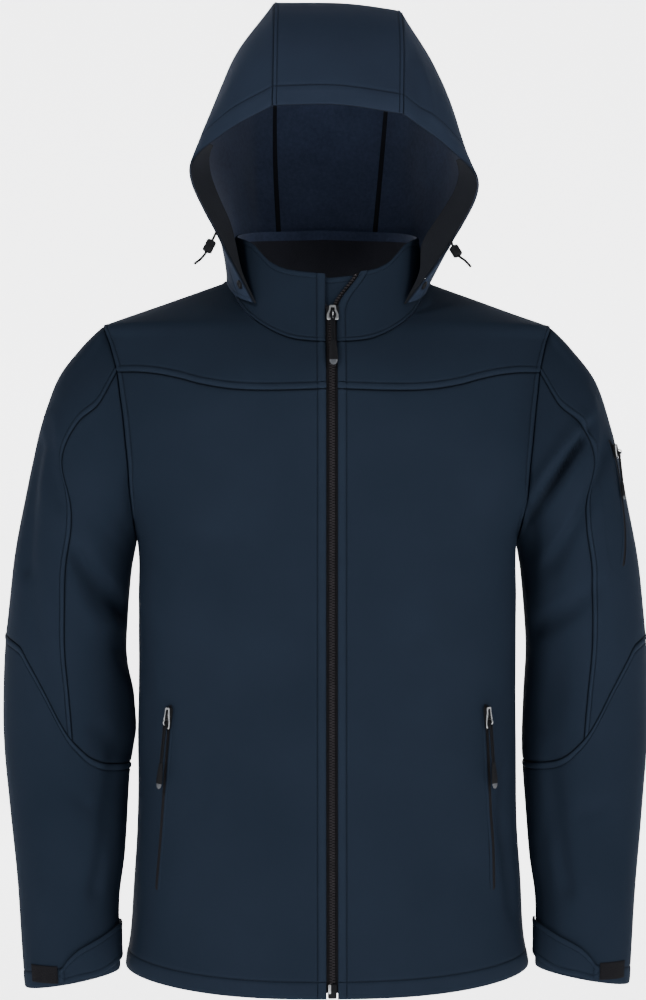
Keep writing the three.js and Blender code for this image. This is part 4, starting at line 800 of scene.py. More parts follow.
def mark_line(length, start, end, middle_steps):
    """Distances along one line of a panel: close by its worked borders, even between"""
    between = np.linspace(start[-1], length - end[-1], middle_steps + 1)[1:-1]
    return np.concatenate([start, between, length - np.array(end[::-1])])


def lay_grid(surface, span, edges, step):
    """Grid of a panel whose lines lie at true distances from its borders"""
    u0, u1, v0, v1 = span
    us, vs = np.linspace(u0, u1, SURVEY_COLUMNS), np.linspace(v0, v1, SURVEY_ROWS)
    u, v = np.meshgrid(us, vs)
    p = surface(u, v)
    across, along = path_lengths(p, 1), path_lengths(p, 0)
    start, end, first, last = (BORDERS[edges[name]][0] for name in SIDES)
    wide, tall = across[:, -1].max(), along[-1].max()
    n_across = max(FEWEST_STEPS, round((wide - start[-1] - end[-1]) / step))
    n_along = max(FEWEST_STEPS, round((tall - first[-1] - last[-1]) / step))
    u_of = np.array([np.interp(mark_line(a[-1], start, end, n_across), a, us) for a in across])
    v_of = np.array([np.interp(mark_line(a[-1], first, last, n_along), a, vs) for a in along.T])
    rows, cols = v_of.shape[1], u_of.shape[1]
    u = np.tile(u_of[len(vs) // 2], (rows, 1))
    for _ in range(SETTLING_ROUNDS):
        v = np.array([np.interp(u[r], us, v_of[:, r]) for r in range(rows)])
        u = np.array([np.interp(v[:, c], vs, u_of[:, c]) for c in range(cols)]).T
    return u, v


def face_normals(p, inside=None):
    """Normals of a grid, away from a point inside"""
    normal = np.cross(np.gradient(p, axis=1), np.gradient(p, axis=0))
    normal /= np.maximum(np.linalg.norm(normal, axis=-1, keepdims=True), 1 / FAR)
    middle = p.reshape(-1, 3).mean(axis=0) if inside is None else np.array(inside, float)
    return normal if (normal * (p - middle)).sum() > 0 else -normal


def crease_heights(p, normal, creases, facing):
    """Troughs and ridges on the side of the cloth that faces the front (-1) or back (1)"""
    height = np.zeros(p.shape[:-1])
    shown = ease(normal[..., 1] * facing, *CREASE_TURN)
    for depth, width, route in creases:
        best = np.full(height.shape, FAR)
        taper = np.zeros(height.shape)
        count = len(route) - 1
        for k in range(count):
            away, share = distance_to_segment(p[..., 0], p[..., 2], route[k], route[k + 1])
            nearer = away < best
            best = np.where(nearer, away, best)
            taper = np.where(nearer, (k + share) / count, taper)
        fade = np.sin(np.pi * np.clip(taper, 0.02, 0.98)) ** CREASE_FADE
        height -= depth * fade * np.exp(-((best / width) ** 2))
    return height * shown


def soft_waves(p):
    """Slow unevenness of worn cloth"""
    x, y, z = (p[..., k] for k in range(3))
    wave = np.sin(x / 31 + 1.3 * np.sin(z / 47)) * np.sin(z / 39 + y / 44 + 0.7)
    wave += 0.6 * np.sin(x / 17 - z / 23 + 2.1) * np.sin(y / 29 + z / 61)
    return 0.45 * wave


def border_height(style, weight):
    """Height of one worked border over the grid: its own style where its weight is 1, else plainly under"""
    marks, heights, _ = BORDERS[style]
    plain = np.interp(np.array(marks), *BORDERS["under"][:2])
    return weight[:, None] * np.array(heights) + (1 - weight[:, None]) * plain


def stronger(a, b):
    return np.where(np.abs(a) > np.abs(b), a, b)


def worked_heights(shape, edges, weights):
    height = np.zeros(shape)
    for name in SIDES:
        view = height if name in ("start", "end") else height.T
        view = view[:, ::-1] if name in ("end", "last") else view
        line = border_height(edges[name], weights.get(name, np.ones(len(view))))
        border = view[:, :line.shape[1]]
        border[...] = stronger(border, line)
    return height


def stitch_paths(outer, normal, edges, weights):
    """Lines of the panel that carry a row of stitches"""
    for name in SIDES:
        turned = name in ("first", "last")
        places, normals = (grid.swapaxes(0, 1) if turned else grid for grid in (outer, normal))
        marks, _, stitches = BORDERS[edges[name]]
        for distance in stitches:
            k = marks.index(distance)
            column = -1 - k if name in ("end", "last") else k
            keep = weights.get(name, np.ones(len(places))) > 0.5
            yield places[keep, column], normals[keep, column]


STITCHES = []
OUTER_CLOTH = []


def new_mesh(name, verts, faces, materials):
    """Mesh in metres from millimetre points"""
    mesh = bpy.data.meshes.new(name)
    mesh.from_pydata((np.asarray(verts) * MM).tolist(), [], faces)
    for material in materials:
        mesh.materials.append(material)
    return mesh


def new_object(name, data):
    piece = bpy.data.objects.new(name, data)
    bpy.context.scene.collection.objects.link(piece)
    return piece


def smooth(mesh, crisp=None):
    """Smooth shading, apart from edges that turn more than an angle"""
    mesh.polygons.foreach_set("use_smooth", np.ones(len(mesh.polygons), bool))
    if crisp:
        mesh.set_sharp_from_angle(angle=math.radians(crisp))


def add_wall_mesh(name, verts, faces, materials, slots, attribute):
    """Cloth mesh whose points carry millimetres across and along, and the height of the worked border with the
    painted shade and highlight of deep folds added in
    """
    mesh = new_mesh(name, verts, faces.tolist(), materials)
    mesh.polygons.foreach_set("material_index", np.asarray(slots, np.int32))
    smooth(mesh, WALL_CRISP)
    layer = mesh.attributes.new("cloth", "FLOAT_VECTOR", "POINT")
    layer.data.foreach_set("vector", np.asarray(attribute, np.float32).ravel())
    mesh.update()
    return new_object(name, mesh)


def wall_faces(rows, cols):
    """Quads of a closed wall: outer layer, inner layer and the rim, with their layer numbers"""
    index = np.arange(rows * cols).reshape(rows, cols)
    a, b, c, d = index[:-1, :-1], index[:-1, 1:], index[1:, 1:], index[1:, :-1]
    outer = np.stack([a, b, c, d], axis=-1).reshape(-1, 4)
    inner = outer[:, ::-1] + rows * cols
    ring = np.concatenate([index[0, :-1], index[:-1, -1], index[-1, :0:-1], index[:0:-1, 0]])
    after = np.roll(ring, -1)
    rim = np.stack([after, ring, ring + rows * cols, after + rows * cols], axis=-1)
    faces = np.concatenate([outer, inner, rim])
    layers = np.concatenate([np.zeros(len(outer)), np.ones(len(inner)), np.zeros(len(rim))])
    return faces, layers


def add_wall(name, outer, inner, materials, attribute):
    rows, cols = outer.shape[:2]
    faces, layers = wall_faces(rows, cols)
    middle = (rows // 2, cols // 2)
    a, b, c = outer[middle], outer[middle[0], middle[1] + 1], outer[middle[0] + 1, middle[1]]
    normal = np.cross(b - a, c - a)
    if np.dot(normal, a - inner[middle]) < 0:
        faces = faces[:, ::-1]
    verts = np.concatenate([outer.reshape(-1, 3), inner.reshape(-1, 3)])
    attribute = np.concatenate([attribute.reshape(-1, 3)] * 2)
    return add_wall_mesh(name, verts, faces, materials, layers, attribute)


def grid_area(p):
    a = p[1:, 1:] - p[:-1, :-1]
    b = p[1:, :-1] - p[:-1, 1:]
    return 0.5 * np.linalg.norm(np.cross(a, b), axis=-1).sum()


def dress(piece, node, slot, body=GARMENT):
    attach(piece, body)
    if node:
        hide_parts(node)
    return piece


def add_panel(node, surface, span, edges, materials=None, slot="softshell", step=3.75,
              weights=None, creases=(), thick=CLOTH, waves=1.0, lift=0, inside=None, behind=False):
    """One cut piece of cloth, sewn at its borders"""
    u, v = lay_grid(surface, span, edges, step)
    p = surface(u, v)
    normal = face_normals(p, inside)
    p = p + normal * lift
    weights = {name: rule(v[:, 0] if name in ("start", "end") else u[0])
               for name, rule in (weights or {}).items()}
    worked = worked_heights(u.shape, edges, weights)
    folds = soft_waves(p) * waves
    for table, facing in creases:
        folds = folds + crease_heights(p, normal, table, facing)
    across, along = path_lengths(p, 1), path_lengths(p, 0)
    folds = folds * calm_borders(across, along)
    pucker = puckers(along, across, *PUCKER_ALONG) + puckers(across, along, *PUCKER_ACROSS)
    outer = p + normal * (folds + worked + pucker * (worked > 0))[..., None]
    inner = p + normal * (folds - thick)[..., None]
    STITCHES.extend(stitch_paths(outer, normal, edges, weights))
    # The depth of deep folds goes into the third channel beside the worked height, as painted shade in troughs
    # and painted highlight on ridges
    deep = np.sign(folds) * np.maximum(np.abs(folds) - DEEP_FOLD, 0)
    attribute = points(across, along, worked + deep * DEEP_FOLD_PAINTED_SHADE_AND_HIGHLIGHT)
    piece = add_wall(f"cloth_{node}", outer, inner, materials or SHELL, attribute)
    dress(piece, node, slot)
    width, length = across[:, -1].max() * MM, along[-1].max() * MM
    min(grid_area(p) * MM * MM, width * length)
    if not behind:
        OUTER_CLOTH.append(outer)


def puckers(run, away, length, drift):
    """Small gathers along a sewn border, of a length that drifts"""
    gathers = PUCKER_HEIGHT * np.sin(run / length + 2 * np.sin(run / drift))
    return gathers * np.exp(-((away - PUCKER_FROM_EDGE) / PUCKER_FROM_EDGE) ** 2)


def calm_borders(across, along):
    """Folds die out at the borders, so that neighbouring panels meet"""
    ends = [across, across[:, -1:] - across, along, along[-1:] - along]
    calm = np.ones(across.shape)
    for distance in ends:
        calm = calm * ease(distance, 0, CALM_WIDTH)
    return calm


# Colours, as the eye reads them on a screen

def screen(red, green, blue):
    linear = [(c / 255 / 12.92 if c / 255 <= 0.04045 else ((c / 255 + 0.055) / 1.055) ** 2.4)
              for c in (red, green, blue)]
    return (*linear, 1.0)


NAVY = screen(18, 24, 33)
NAVY_LIGHT = screen(29, 36, 47)
# Hood: the body's softshell painted lighter, as painted light falling on the hood
PAINTED_LIT_HOOD_NAVY = screen(25, 31, 42)
PAINTED_LIT_HOOD_LIGHT = screen(40, 48, 63)
FLEECE = screen(36, 43, 61)
FLEECE_LIGHT = screen(58, 68, 92)
CHARCOAL = screen(26, 28, 33)
CHARCOAL_DARK = screen(15, 16, 19)
LINING_BLACK = screen(22, 23, 28)
LINING_LIGHT = screen(42, 43, 50)
NEAR_BLACK = screen(9, 10, 13)
TAPE_BLACK = screen(24, 23, 25)
TEETH_BLACK = screen(38, 35, 37)
SILVER = screen(176, 178, 180)
SILVER_DARK = screen(92, 94, 96)
CLEAR_DARK = screen(32, 34, 38)
CLEAR_LIGHT = screen(70, 72, 76)
CORD_BLACK = screen(15, 15, 17)
THREAD_NAVY = screen(17, 25, 38)
PALE = screen(244, 244, 245)


class Line:
    """A socket's value, with arithmetic that adds the Math nodes"""

    def __init__(self, paint, socket):
        self.paint = paint
        self.socket = socket

    def math(self, operation, *others):
        values = [self, *others]
        return self.paint.node("ShaderNodeMath", {"operation": operation}, *values)

    def __add__(self, other):
        return self.math("ADD", other)

    __radd__ = __add__

    def __mul__(self, other):
        return self.math("MULTIPLY", other)

    __rmul__ = __mul__

    def __sub__(self, other):
        return self.math("SUBTRACT", other)

    def __rsub__(self, other):
        return self.paint.node("ShaderNodeMath", {"operation": "SUBTRACT"}, other, self)

    def clamp(self):
        return self.math("MINIMUM", 1.0).math("MAXIMUM", 0.0)


class Paint:
    """A material's node tree"""

    def __init__(self, name, **constants):
        self.material = bpy.data.materials.new(name)
        self.material.use_nodes = True
        self.tree = self.material.node_tree
        self.shader = next(n for n in self.tree.nodes if n.type == "BSDF_PRINCIPLED")
        for socket, value in constants.items():
            self.shader.inputs[socket.replace("_", " ")].default_value = value

    def node(self, kind, settings, *values, output=0, **named):
        node = self.tree.nodes.new(kind)
        for key, value in settings.items():
            setattr(node, key, value)
        for key, value in [*enumerate(values), *((k.replace("_", " "), v) for k, v in named.items())]:
            self.join(value, node.inputs[key])
        return Line(self, node.outputs[output])

    def join(self, value, socket):
        if isinstance(value, Line):
            self.tree.links.new(value.socket, socket)
        else:
            socket.default_value = value

    def feed(self, socket, value):
        self.join(value, self.shader.inputs[socket])

    def place(self):
        return self.node("ShaderNodeTexCoord", {}, output="Object")

    def noise(self, where, scale, detail=3.0, rough=0.55):
        return self.node("ShaderNodeTexNoise", {}, Vector=where, Scale=scale, Detail=detail, Roughness=rough)

    def cloth(self):
        """Millimetres across and along the panel, and the height of its worked border, with the painted shade
        and highlight of deep folds added in
        """
        vector = self.node("ShaderNodeAttribute", {"attribute_name": "cloth"}, output="Vector")
        split = self.node("ShaderNodeSeparateXYZ", {}, vector)
        return [Line(self, socket) for socket in split.socket.node.outputs]

    def blend(self, factor, a, b):
        node = self.tree.nodes.new("ShaderNodeMix")
        node.data_type = "RGBA"
        colours = [s for s in node.inputs if s.type == "RGBA"]
        self.join(factor, node.inputs["Factor"])
        self.join(a, colours[0])
        self.join(b, colours[1])
        return Line(self, next(s for s in node.outputs if s.type == "RGBA"))

    def bump(self, height, strength, distance):
        normal = self.node("ShaderNodeBump", {}, Strength=strength, Distance=distance, Height=height)
        self.feed("Normal", normal)


# Turns of the softshell's weave for each millimetre, and scales of noise for each metre
TWILL_TURN = 5.2
PICK_TURN = 7.4
BROAD_SCALE = 9.0
GRAIN_SCALE = 900.0
TUFT_SCALE = 260.0
MOULD_GRAIN_SCALE = 500.0
THREAD_SCALE = 1500.0
SHEEN_TINT = screen(120, 145, 190)


def softshell_cloth(name, base, light):
    """Close woven face of softshell: fine twill and soft sheen, with painted shade in its seam grooves and fold
    troughs and a painted highlight on its raised ridges
    """
    paint = Paint(name, Sheen_Weight=0.02, Sheen_Roughness=0.3, Specular_IOR_Level=0.01)
    paint.feed("Sheen Tint", SHEEN_TINT)
    where = paint.place()
    across, along, worked = paint.cloth()
    ribs = (across * TWILL_TURN + along * TWILL_TURN).math("SINE") * 0.5 + 0.5
    picks = (across * PICK_TURN - along * PICK_TURN).math("SINE") * 0.5 + 0.5
    weave = ribs * picks
    drift = paint.noise(where, BROAD_SCALE, 4.0)
    grain = paint.noise(where, GRAIN_SCALE, 2.0)
    # Painted shade: grooves of worked borders and troughs of deep folds are blended towards near black. Painted
    # highlight: raised ridges are lightened
    painted_groove_shade = (worked * -1.3).clamp()
    painted_ridge_highlight = (worked * 1.4).clamp()
    tone = (drift - 0.5) * 0.5 + weave * 0.22 + grain * 0.3 + painted_ridge_highlight * 0.18
    colour = paint.blend(tone.clamp(), base, light)
    colour = paint.blend(painted_groove_shade * 0.75, colour, NEAR_BLACK)
    paint.feed("Base Color", colour)
    paint.feed("Roughness", (drift - 0.5) * 0.2 + grain * 0.12 + 0.72)
    paint.bump(weave * 0.5 + grain * 0.5, 0.35, 0.0004)
    return paint.material


def fleece_cloth():
    """Bonded fleece inside: short soft nap with small tufts"""
    paint = Paint("bonded_fleece", Roughness=0.95, Specular_IOR_Level=0.02, Sheen_Weight=0.08,
                  Sheen_Roughness=0.6)
    where = paint.place()
    tufts = paint.noise(where, TUFT_SCALE, 4.0, 0.7)
    patches = paint.noise(where, 30.0, 3.0)
    colour = paint.blend(((tufts - 0.3) * 0.8 + (patches - 0.5) * 0.5).clamp(), FLEECE, FLEECE_LIGHT)
    paint.feed("Base Color", colour)
    paint.bump(tufts, 0.4, 0.0008)
    return paint.material


def plain_weave(name, dark, light, rib, sheen=0.02):
    """Woven tape or facing: fine ribs along and across"""
    paint = Paint(name, Sheen_Weight=sheen, Roughness=0.8, Specular_IOR_Level=0.02)
    where = paint.place()
    across, along, _ = paint.cloth()
    ribs = (across * rib).math("SINE") * (along * rib).math("SINE") * 0.5 + 0.5
    grain = paint.noise(where, 700.0, 3.0)
    patches = paint.noise(where, 40.0, 3.0)
    tone = (ribs * 0.5 + grain * 0.4 + (patches - 0.5) * 0.4).clamp()
    paint.feed("Base Color", paint.blend(tone, dark, light))
    paint.bump(ribs * 0.6 + grain * 0.4, 0.5, 0.0005)
    return paint.material


def moulded(name, dark, light, roughness, coat=0.0):
    """Moulded plastic or rubber with a fine mould grain"""
    paint = Paint(name, Coat_Weight=coat, Coat_Roughness=0.25, Specular_IOR_Level=0.06)
    where = paint.place()
    grain = paint.noise(where, MOULD_GRAIN_SCALE, 2.0)
    wear = paint.noise(where, 60.0, 3.0)
    paint.feed("Base Color", paint.blend(wear, dark, light))
    paint.feed("Roughness", grain * 0.2 + roughness)
    paint.bump(grain, 0.25, 0.0003)
    return paint.material


def worn_metal(name, dark, light):
    """Plated die cast metal, brushed a little by use"""
    paint = Paint(name, Metallic=1.0)
    where = paint.place()
    scuffs = paint.noise(where, 240.0, 5.0, 0.7)
    broad = paint.noise(where, 45.0, 2.0)
    paint.feed("Base Color", paint.blend((scuffs * 0.5 + broad * 0.6).clamp(), dark, light))
    paint.feed("Roughness", scuffs * 0.25 + 0.24)
    paint.bump(scuffs, 0.12, 0.0002)
    return paint.material


def thread(name, dark, light):
    paint = Paint(name, Roughness=0.7, Sheen_Weight=0.02, Specular_IOR_Level=0.03)
    twist = paint.noise(paint.place(), THREAD_SCALE, 2.0)
    paint.feed("Base Color", paint.blend(twist, dark, light))
    paint.bump(twist, 0.4, 0.0002)
    return paint.material


def hooks():
    """Hook tape: a field of fine dark hooks"""
    paint = Paint("hook_tape", Roughness=0.85, Specular_IOR_Level=0.03)
    field = paint.noise(paint.place(), GRAIN_SCALE, 3.0, 0.8)
    paint.feed("Base Color", paint.blend(field, NEAR_BLACK, TAPE_BLACK))
    paint.bump(field, 0.9, 0.001)
    return paint.material


# Small shapes

def frame_from(point, normal, along):
    """Axes of a piece laid on the cloth: x across, y into the cloth, z along"""
    out = normal / np.linalg.norm(normal)
    up = along - out * np.dot(along, out)
    up /= np.linalg.norm(up)
    across = np.cross(-out, up)
    return point, across, -out, up


def in_frame(local, axes):
    point, across, inward, up = axes
    local = np.asarray(local, float)
    return point + local[..., :1] * across + local[..., 1:2] * inward + local[..., 2:] * up


def stitch_points(p, normal):
    """Thread of one stitch: a point in the cloth, two square rings above it and a point again"""
    side = np.cross(p[3] - p[0], normal)
    side /= np.linalg.norm(side)
    yield p[0] - normal * STITCH_ENDS
    for spot in p[1:3]:
        for c, s in STITCH_RING:
            yield spot + side * c * STITCH_RADIUS + normal * (s * STITCH_RADIUS + STITCH_LIFT)
    yield p[3] - normal * STITCH_ENDS


def stitch_faces(base):
    for k in range(4):
        j = (k + 1) % 4
        yield base, base + 1 + j, base + 1 + k
        yield base + 1 + k, base + 1 + j, base + 5 + j, base + 5 + k
        yield base + 9, base + 5 + k, base + 5 + j


def add_stitches(name, paths, material):
    """Rows of single stitches, each a short thread that dips into the cloth at its ends"""
    verts, faces = [], []
    for path, normals in paths:
        steps = np.concatenate([[0], np.cumsum(np.linalg.norm(np.diff(path, axis=0), axis=1))])
        keep = np.concatenate([[True], np.diff(steps) > MERGE])
        path, normals, steps = path[keep], normals[keep], steps[keep]
        for begin in np.arange(STITCH_PITCH / 2, steps[-1] - STITCH_LENGTH, STITCH_PITCH):
            spots = [begin + STITCH_LENGTH * share for share in STITCH_BENDS]
            p = np.array([[np.interp(at, steps, path[:, k]) for k in range(3)] for at in spots])
            normal = np.array([np.interp(begin, steps, normals[:, k]) for k in range(3)])
            faces.extend(stitch_faces(len(verts)))
            verts.extend(stitch_points(p, normal))
    mesh = new_mesh(name, verts, faces, [material])
    smooth(mesh)
    dress(new_object(name, mesh), None, "softshell")


def ring_of(outline, y, inset=0.0):
    """Outline in x and z, drawn in by a distance, as a ring at one depth"""
    flat = np.array(outline, float)
    middle = (flat.max(axis=0) + flat.min(axis=0)) / 2
    half = (flat.max(axis=0) - flat.min(axis=0)) / 2
    flat = middle + (flat - middle) * (1 - inset / half)
    return np.stack([flat[:, 0], np.full(len(flat), y), flat[:, 1]], axis=-1)


def loft(rings):
    """Closed shape through rings of equal count, with flat ends"""
    rings = np.array(rings, float)
    count, sides = rings.shape[:2]
    index = np.arange(count * sides).reshape(count, sides)
    after = np.roll(index, -1, axis=1)
    walls = np.stack([index[:-1], after[:-1], after[1:], index[1:]], axis=-1).reshape(-1, 4)
    ends = [tuple(index[0, ::-1]), tuple(index[-1])]
    return rings.reshape(-1, 3), [tuple(face) for face in walls] + ends


def plate(outline, low, high, bevel):
    """Extruded outline from one depth to another, with bevelled edges"""
    depths = [(low, bevel), (low + bevel * 0.4, bevel * 0.35), (low + bevel, 0)]
    depths += [(high - bevel, 0), (high - bevel * 0.4, bevel * 0.35), (high, bevel)]
    return loft([ring_of(outline, -depth, inset) for depth, inset in depths])


def window_frame(outline, low, high, bevel, wide):
    """Plate whose middle is cut out, leaving a rim of one width"""
    depths = [(low, bevel), (low + bevel, 0), (high - bevel, 0), (high, bevel), (high, wide), (low, wide)]
    rings = [ring_of(outline, -depth, inset) for depth, inset in depths]
    verts, faces = loft([*rings, rings[0]])
    return verts, faces[:-2]


def tube(path, radius, sides=10):
    """Round tube along points, with its ends rounded over"""
    path = np.array(path, float)
    along = np.gradient(path, axis=0)
    along /= np.linalg.norm(along, axis=1, keepdims=True)
    side = np.cross(along, (0.31, 0.22, 0.92))
    side /= np.linalg.norm(side, axis=1, keepdims=True)
    other = np.cross(along, side)
    radii = np.full(len(path), float(radius))
    radii[[0, -1]] *= 0.6
    turns = np.arange(sides) * 2 * math.pi / sides
    rings = [p + r * (np.outer(np.cos(turns), a) + np.outer(np.sin(turns), b))
             for p, r, a, b in zip(path, radii, side, other)]
    return loft(rings)


def lathe(profile, sides=28):
    """Turned ring about the z axis through pairs of radius and height"""
    turns = np.arange(sides) * 2 * math.pi / sides
    rings = [np.stack([r * np.cos(turns), r * np.sin(turns), np.full(sides, z)], axis=-1) for r, z in profile]
    return loft(rings)


def turned_tube(profile, sides=24):
    """Turned wall that closes on itself, with an open hole"""
    verts, faces = lathe([*profile, profile[0]], sides)
    return verts, faces[:-2]


def rounded_box(wide, tall, corner, steps=5):
    corners = []
    for k, (sx, sz) in enumerate([(1, 1), (-1, 1), (-1, -1), (1, -1)]):
        for turn in np.linspace(90 * k, 90 * k + 90, steps):
            x = sx * (wide / 2 - corner) + corner * cosine(turn)
            corners.append((x, sz * (tall / 2 - corner) + corner * sine(turn)))
    return corners


def joined(shapes):
    """One set of vertices and faces from several"""
    verts, faces, base = [], [], 0
    for shape_verts, shape_faces in shapes:
        verts.append(np.asarray(shape_verts, float))
        faces.extend(tuple(int(i) + base for i in face) for face in shape_faces)
        base += len(shape_verts)
    return np.concatenate(verts), faces


def placed(shape, axes):
    return in_frame(shape[0], axes), shape[1]


def add_solid_piece(name, shape, material, node, slot, body=GARMENT):
    """Small hard piece from a closed shape in millimetres"""
    mesh = new_mesh(name, *shape, [material])
    work = bmesh.new()
    work.from_mesh(mesh)
    bmesh.ops.remove_doubles(work, verts=work.verts, dist=MERGE)
    bmesh.ops.recalc_face_normals(work, faces=work.faces)
    work.to_mesh(mesh)
    work.free()
    smooth(mesh, HARD_CRISP)
    return dress(new_object(name, mesh), node, slot, body)


def spot_frame(surface, u, v, inside, along, lift=0.0, step=0.01):
    """Axes laid on a surface at one place, with the cloth's outside towards -y"""
    def at(a, b):
        return surface(np.array([float(a)]), np.array([float(b)]))[0]
    p = at(u, v)
    normal = np.cross(at(u + step, v) - at(u - step, v), at(u, v + step) - at(u, v - step))
    normal /= np.linalg.norm(normal)
    if np.dot(normal, p - np.array(inside, float)) < 0:
        normal = -normal
    return frame_from(p + normal * lift, normal, np.array(along, float))


def shifted(axes, x=0.0, y=0.0, z=0.0, lean=0.0):
    """Axes moved in their own frame and leant about their x axis"""
    point, across, inward, up = axes
    point = point + across * x + inward * y + up * z
    c, s = cosine(lean), sine(lean)
    return point, across, inward * c + up * s, up * c - inward * s


def front_surface(x, z):
    """Body's front by distance from the centre and height"""
    p = body_point(body_angle(np.abs(x), z), z)
    return p * points(np.where(x < 0, -1, 1), 1 + 0 * z, 1 + 0 * z)


def outer_skin():
    """Outside of the finished cloth, to lay trim and stitches on"""
    verts, faces, base = [], [], 0
    for outer in OUTER_CLOTH:
        rows, cols = outer.shape[:2]
        quads = wall_faces(rows, cols)[0][: (rows - 1) * (cols - 1)]
        verts.append(outer.reshape(-1, 3))
        faces.append(quads + base)
        base += rows * cols
    return BVHTree.FromPolygons(np.concatenate(verts).tolist(), np.concatenate(faces).tolist())


def settled(skin, path, normals, reach=14.0):
    """Points moved along their normals onto the finished cloth"""
    on_cloth = []
    for p, n in zip(path, normals):
        hit = skin.ray_cast(Vector(p + n * reach), Vector(-n), 2 * reach)[0]
        on_cloth.append(p if hit is None else np.array(hit))
    return np.array(on_cloth)


def route_on_front(skin, route, spacing=3.0):
    """Stitch line on the garment's front, through places across and up"""
    marks = np.array(route, float)
    lengths = np.concatenate([[0], np.cumsum(np.linalg.norm(np.diff(marks, axis=0), axis=1))])
    steps = np.linspace(0, lengths[-1], max(2, int(lengths[-1] / spacing)))
    path, normals = [], []
    for s in steps:
        x, z = (np.interp(s, lengths, marks[:, k]) for k in range(2))
        place, normal, _, _ = skin.ray_cast(Vector((x, -RAY_START, z)), Vector((0, 1, 0)))
        if place is not None:
            path.append(place)
            normals.append(normal if normal.y < 0 else -normal)
    return np.array(path), np.array(normals)


def collar_inside(u, v):
    behind = ease(np.abs(u - COLLAR_MIDDLE), *NECK_BAND_COLUMNS)
    return collar_surface(u, mix(COLLAR_LINING_FOOT, 1 - NECK_BAND_SHARE * behind, v))


def hood_facing_surface(u, v, name, side):
    rim = hood_side_surface(u, 0 * v, side)
    turn, back = (look_up(FACING_TURN, "across", key, u) for key in (name, "back"))
    return rim + points(-side * (FACING_SET_IN + turn * v), mix(1, back, v), 0 * v)


def add_inner_cloth():
    """Facings, wind flap and zip tapes, which lie behind the outer cloth"""
    plain = borders("plain")
    add_panel("collar_facing", collar_inside, (1, COLLAR_COLUMNS - 1, 0, 1), plain, [black_lining],
              slot="collar_facing", thick=THIN_CLOTH, waves=0.4, lift=LINING_LIFT, inside=(0, 0, -20),
              behind=True)
    for name, side in (RIGHT, LEFT):
        add_panel(f"hood_facing_{name}", partial(hood_facing_surface, name=name, side=side), (TO_TIP, 5, 0, 1),
                  plain, [charcoal], slot="hood_facing", thick=THIN_CLOTH, inside=(0, 300, 100), behind=True)
        add_panel(f"zip_tape_{name}", partial(tape_surface, side=side), (0, 1, 0, 2), plain, [tape],
                  slot="zip_tape", thick=TAPE_THICK, waves=0, lift=TAPE_LIFT, inside=(0, 0, -300),
                  step=TAPE_STEP, behind=True)
    add_panel("wind_flap", flap_surface, (0, 1, 0, 1), borders("plain", last="edge"),
              waves=0.3, lift=-FLAP_BEHIND, inside=(0, 60, -40), behind=True)


def tape_surface(across, up, side):
    """Zip tape: 0 to 1 up the body and 1 to 2 up the collar"""
    hidden = TAPE_HIDDEN * ease(up, 1 + SLIDER_SHARE, 1.6) if side < 0 else 0 * up
    x = mix(TAPE_INNER + hidden, TAPE_OUTER, across)
    z = mix(ZIP_BOTTOM_Z, NECK_SEAM["z"][0], np.clip(up, 0, 1))
    low = front_surface(side * x, z)
    share = np.clip(up - 1, 0, 1) * TAPE_TOP_SHARE
    edge, beside = (0.0, 0.5) if side < 0 else (COLLAR_COLUMNS, COLLAR_COLUMNS - 0.5)
    a = collar_surface(np.full(x.shape, edge), share)
    b = collar_surface(np.full(x.shape, beside), share)
    start = collar_surface(np.array([beside]), np.array([0.0]))[0]
    reach = (x - FRONT_EDGE) / (abs(start[0]) - FRONT_EDGE)
    high = a + (b - a) * reach[..., None]
    return np.where((up <= 1)[..., None], low, high)


def flap_surface(across, up):
    x = mix(FLAP_FROM, FLAP_TO, across)
    share = mix(FLAP_MARGIN, 1 - FLAP_MARGIN, up)
    p = collar_front_point(x, share)
    p[..., 1] += FLAP_LEAN * share
    return p


def tooth(wide, tall, deep):
    outline = rounded_box(wide, tall, min(wide, tall) * 0.3, steps=3)
    return loft([ring_of(outline, 0.0), ring_of(outline, -deep * 0.6), ring_of(outline, -deep, 0.3)])


def front_spot(x, z, lift):
    return spot_frame(front_surface, x, z, (0, 0, z), UPWARDS, lift, FRONT_STEP)


def collar_spot(x, share, lift):
    return spot_frame(collar_front_point, x, share, COLLAR_INSIDE, UPWARDS, lift)


def interlocked(shape, frames):
    """Teeth by turns on one side of the centre line and the other"""
    return [placed(shape, shifted(axes, x=TOOTH_SHIFT if k % 2 else -TOOTH_SHIFT))
            for k, axes in enumerate(frames)]


def add_teeth():
    """Closed teeth below the slider and open teeth on both tapes above it"""
    shape = tooth(TOOTH_REACH, TOOTH_TALL, TOOTH_DEEP)
    heights = np.arange(ZIP_STOP_TOP + 1, NECK_SEAM["z"][0], TOOTH_PITCH)
    shares = np.arange(CHAIN_ABOVE_SEAM, SLIDER_SHARE - CHAIN_BELOW_SLIDER, TOOTH_PITCH / NECK_SEAM_RISE)
    closed = interlocked(shape, [front_spot(BESIDE_CENTRE, z, TOOTH_SINK) for z in heights])
    closed += interlocked(shape, [collar_spot(BESIDE_CENTRE, share, TOOTH_SINK) for share in shares])
    add_solid_piece("closed_zip_teeth", joined(closed), teeth_nylon, "zip_chain", "zip_tape")
    opened = []
    for side in (-1, 1):
        taped = partial(tape_surface, side=side)
        rise = taped(np.array([0.0, 0.0]), np.array([1.0, 2.0]))
        length = np.linalg.norm(rise[1] - rise[0])
        for up in np.arange(1 + SLIDER_SHARE + OPEN_TEETH_FROM, OPEN_TEETH_TO, 2 * TOOTH_PITCH / length):
            axes = spot_frame(taped, OPEN_TEETH_ACROSS, up, (0, 0, -20), UPWARDS, LINING_LIFT)
            opened.append(placed(shape, axes))
    add_solid_piece("open_zip_teeth", joined(opened), teeth_nylon, None, "zip_tape")


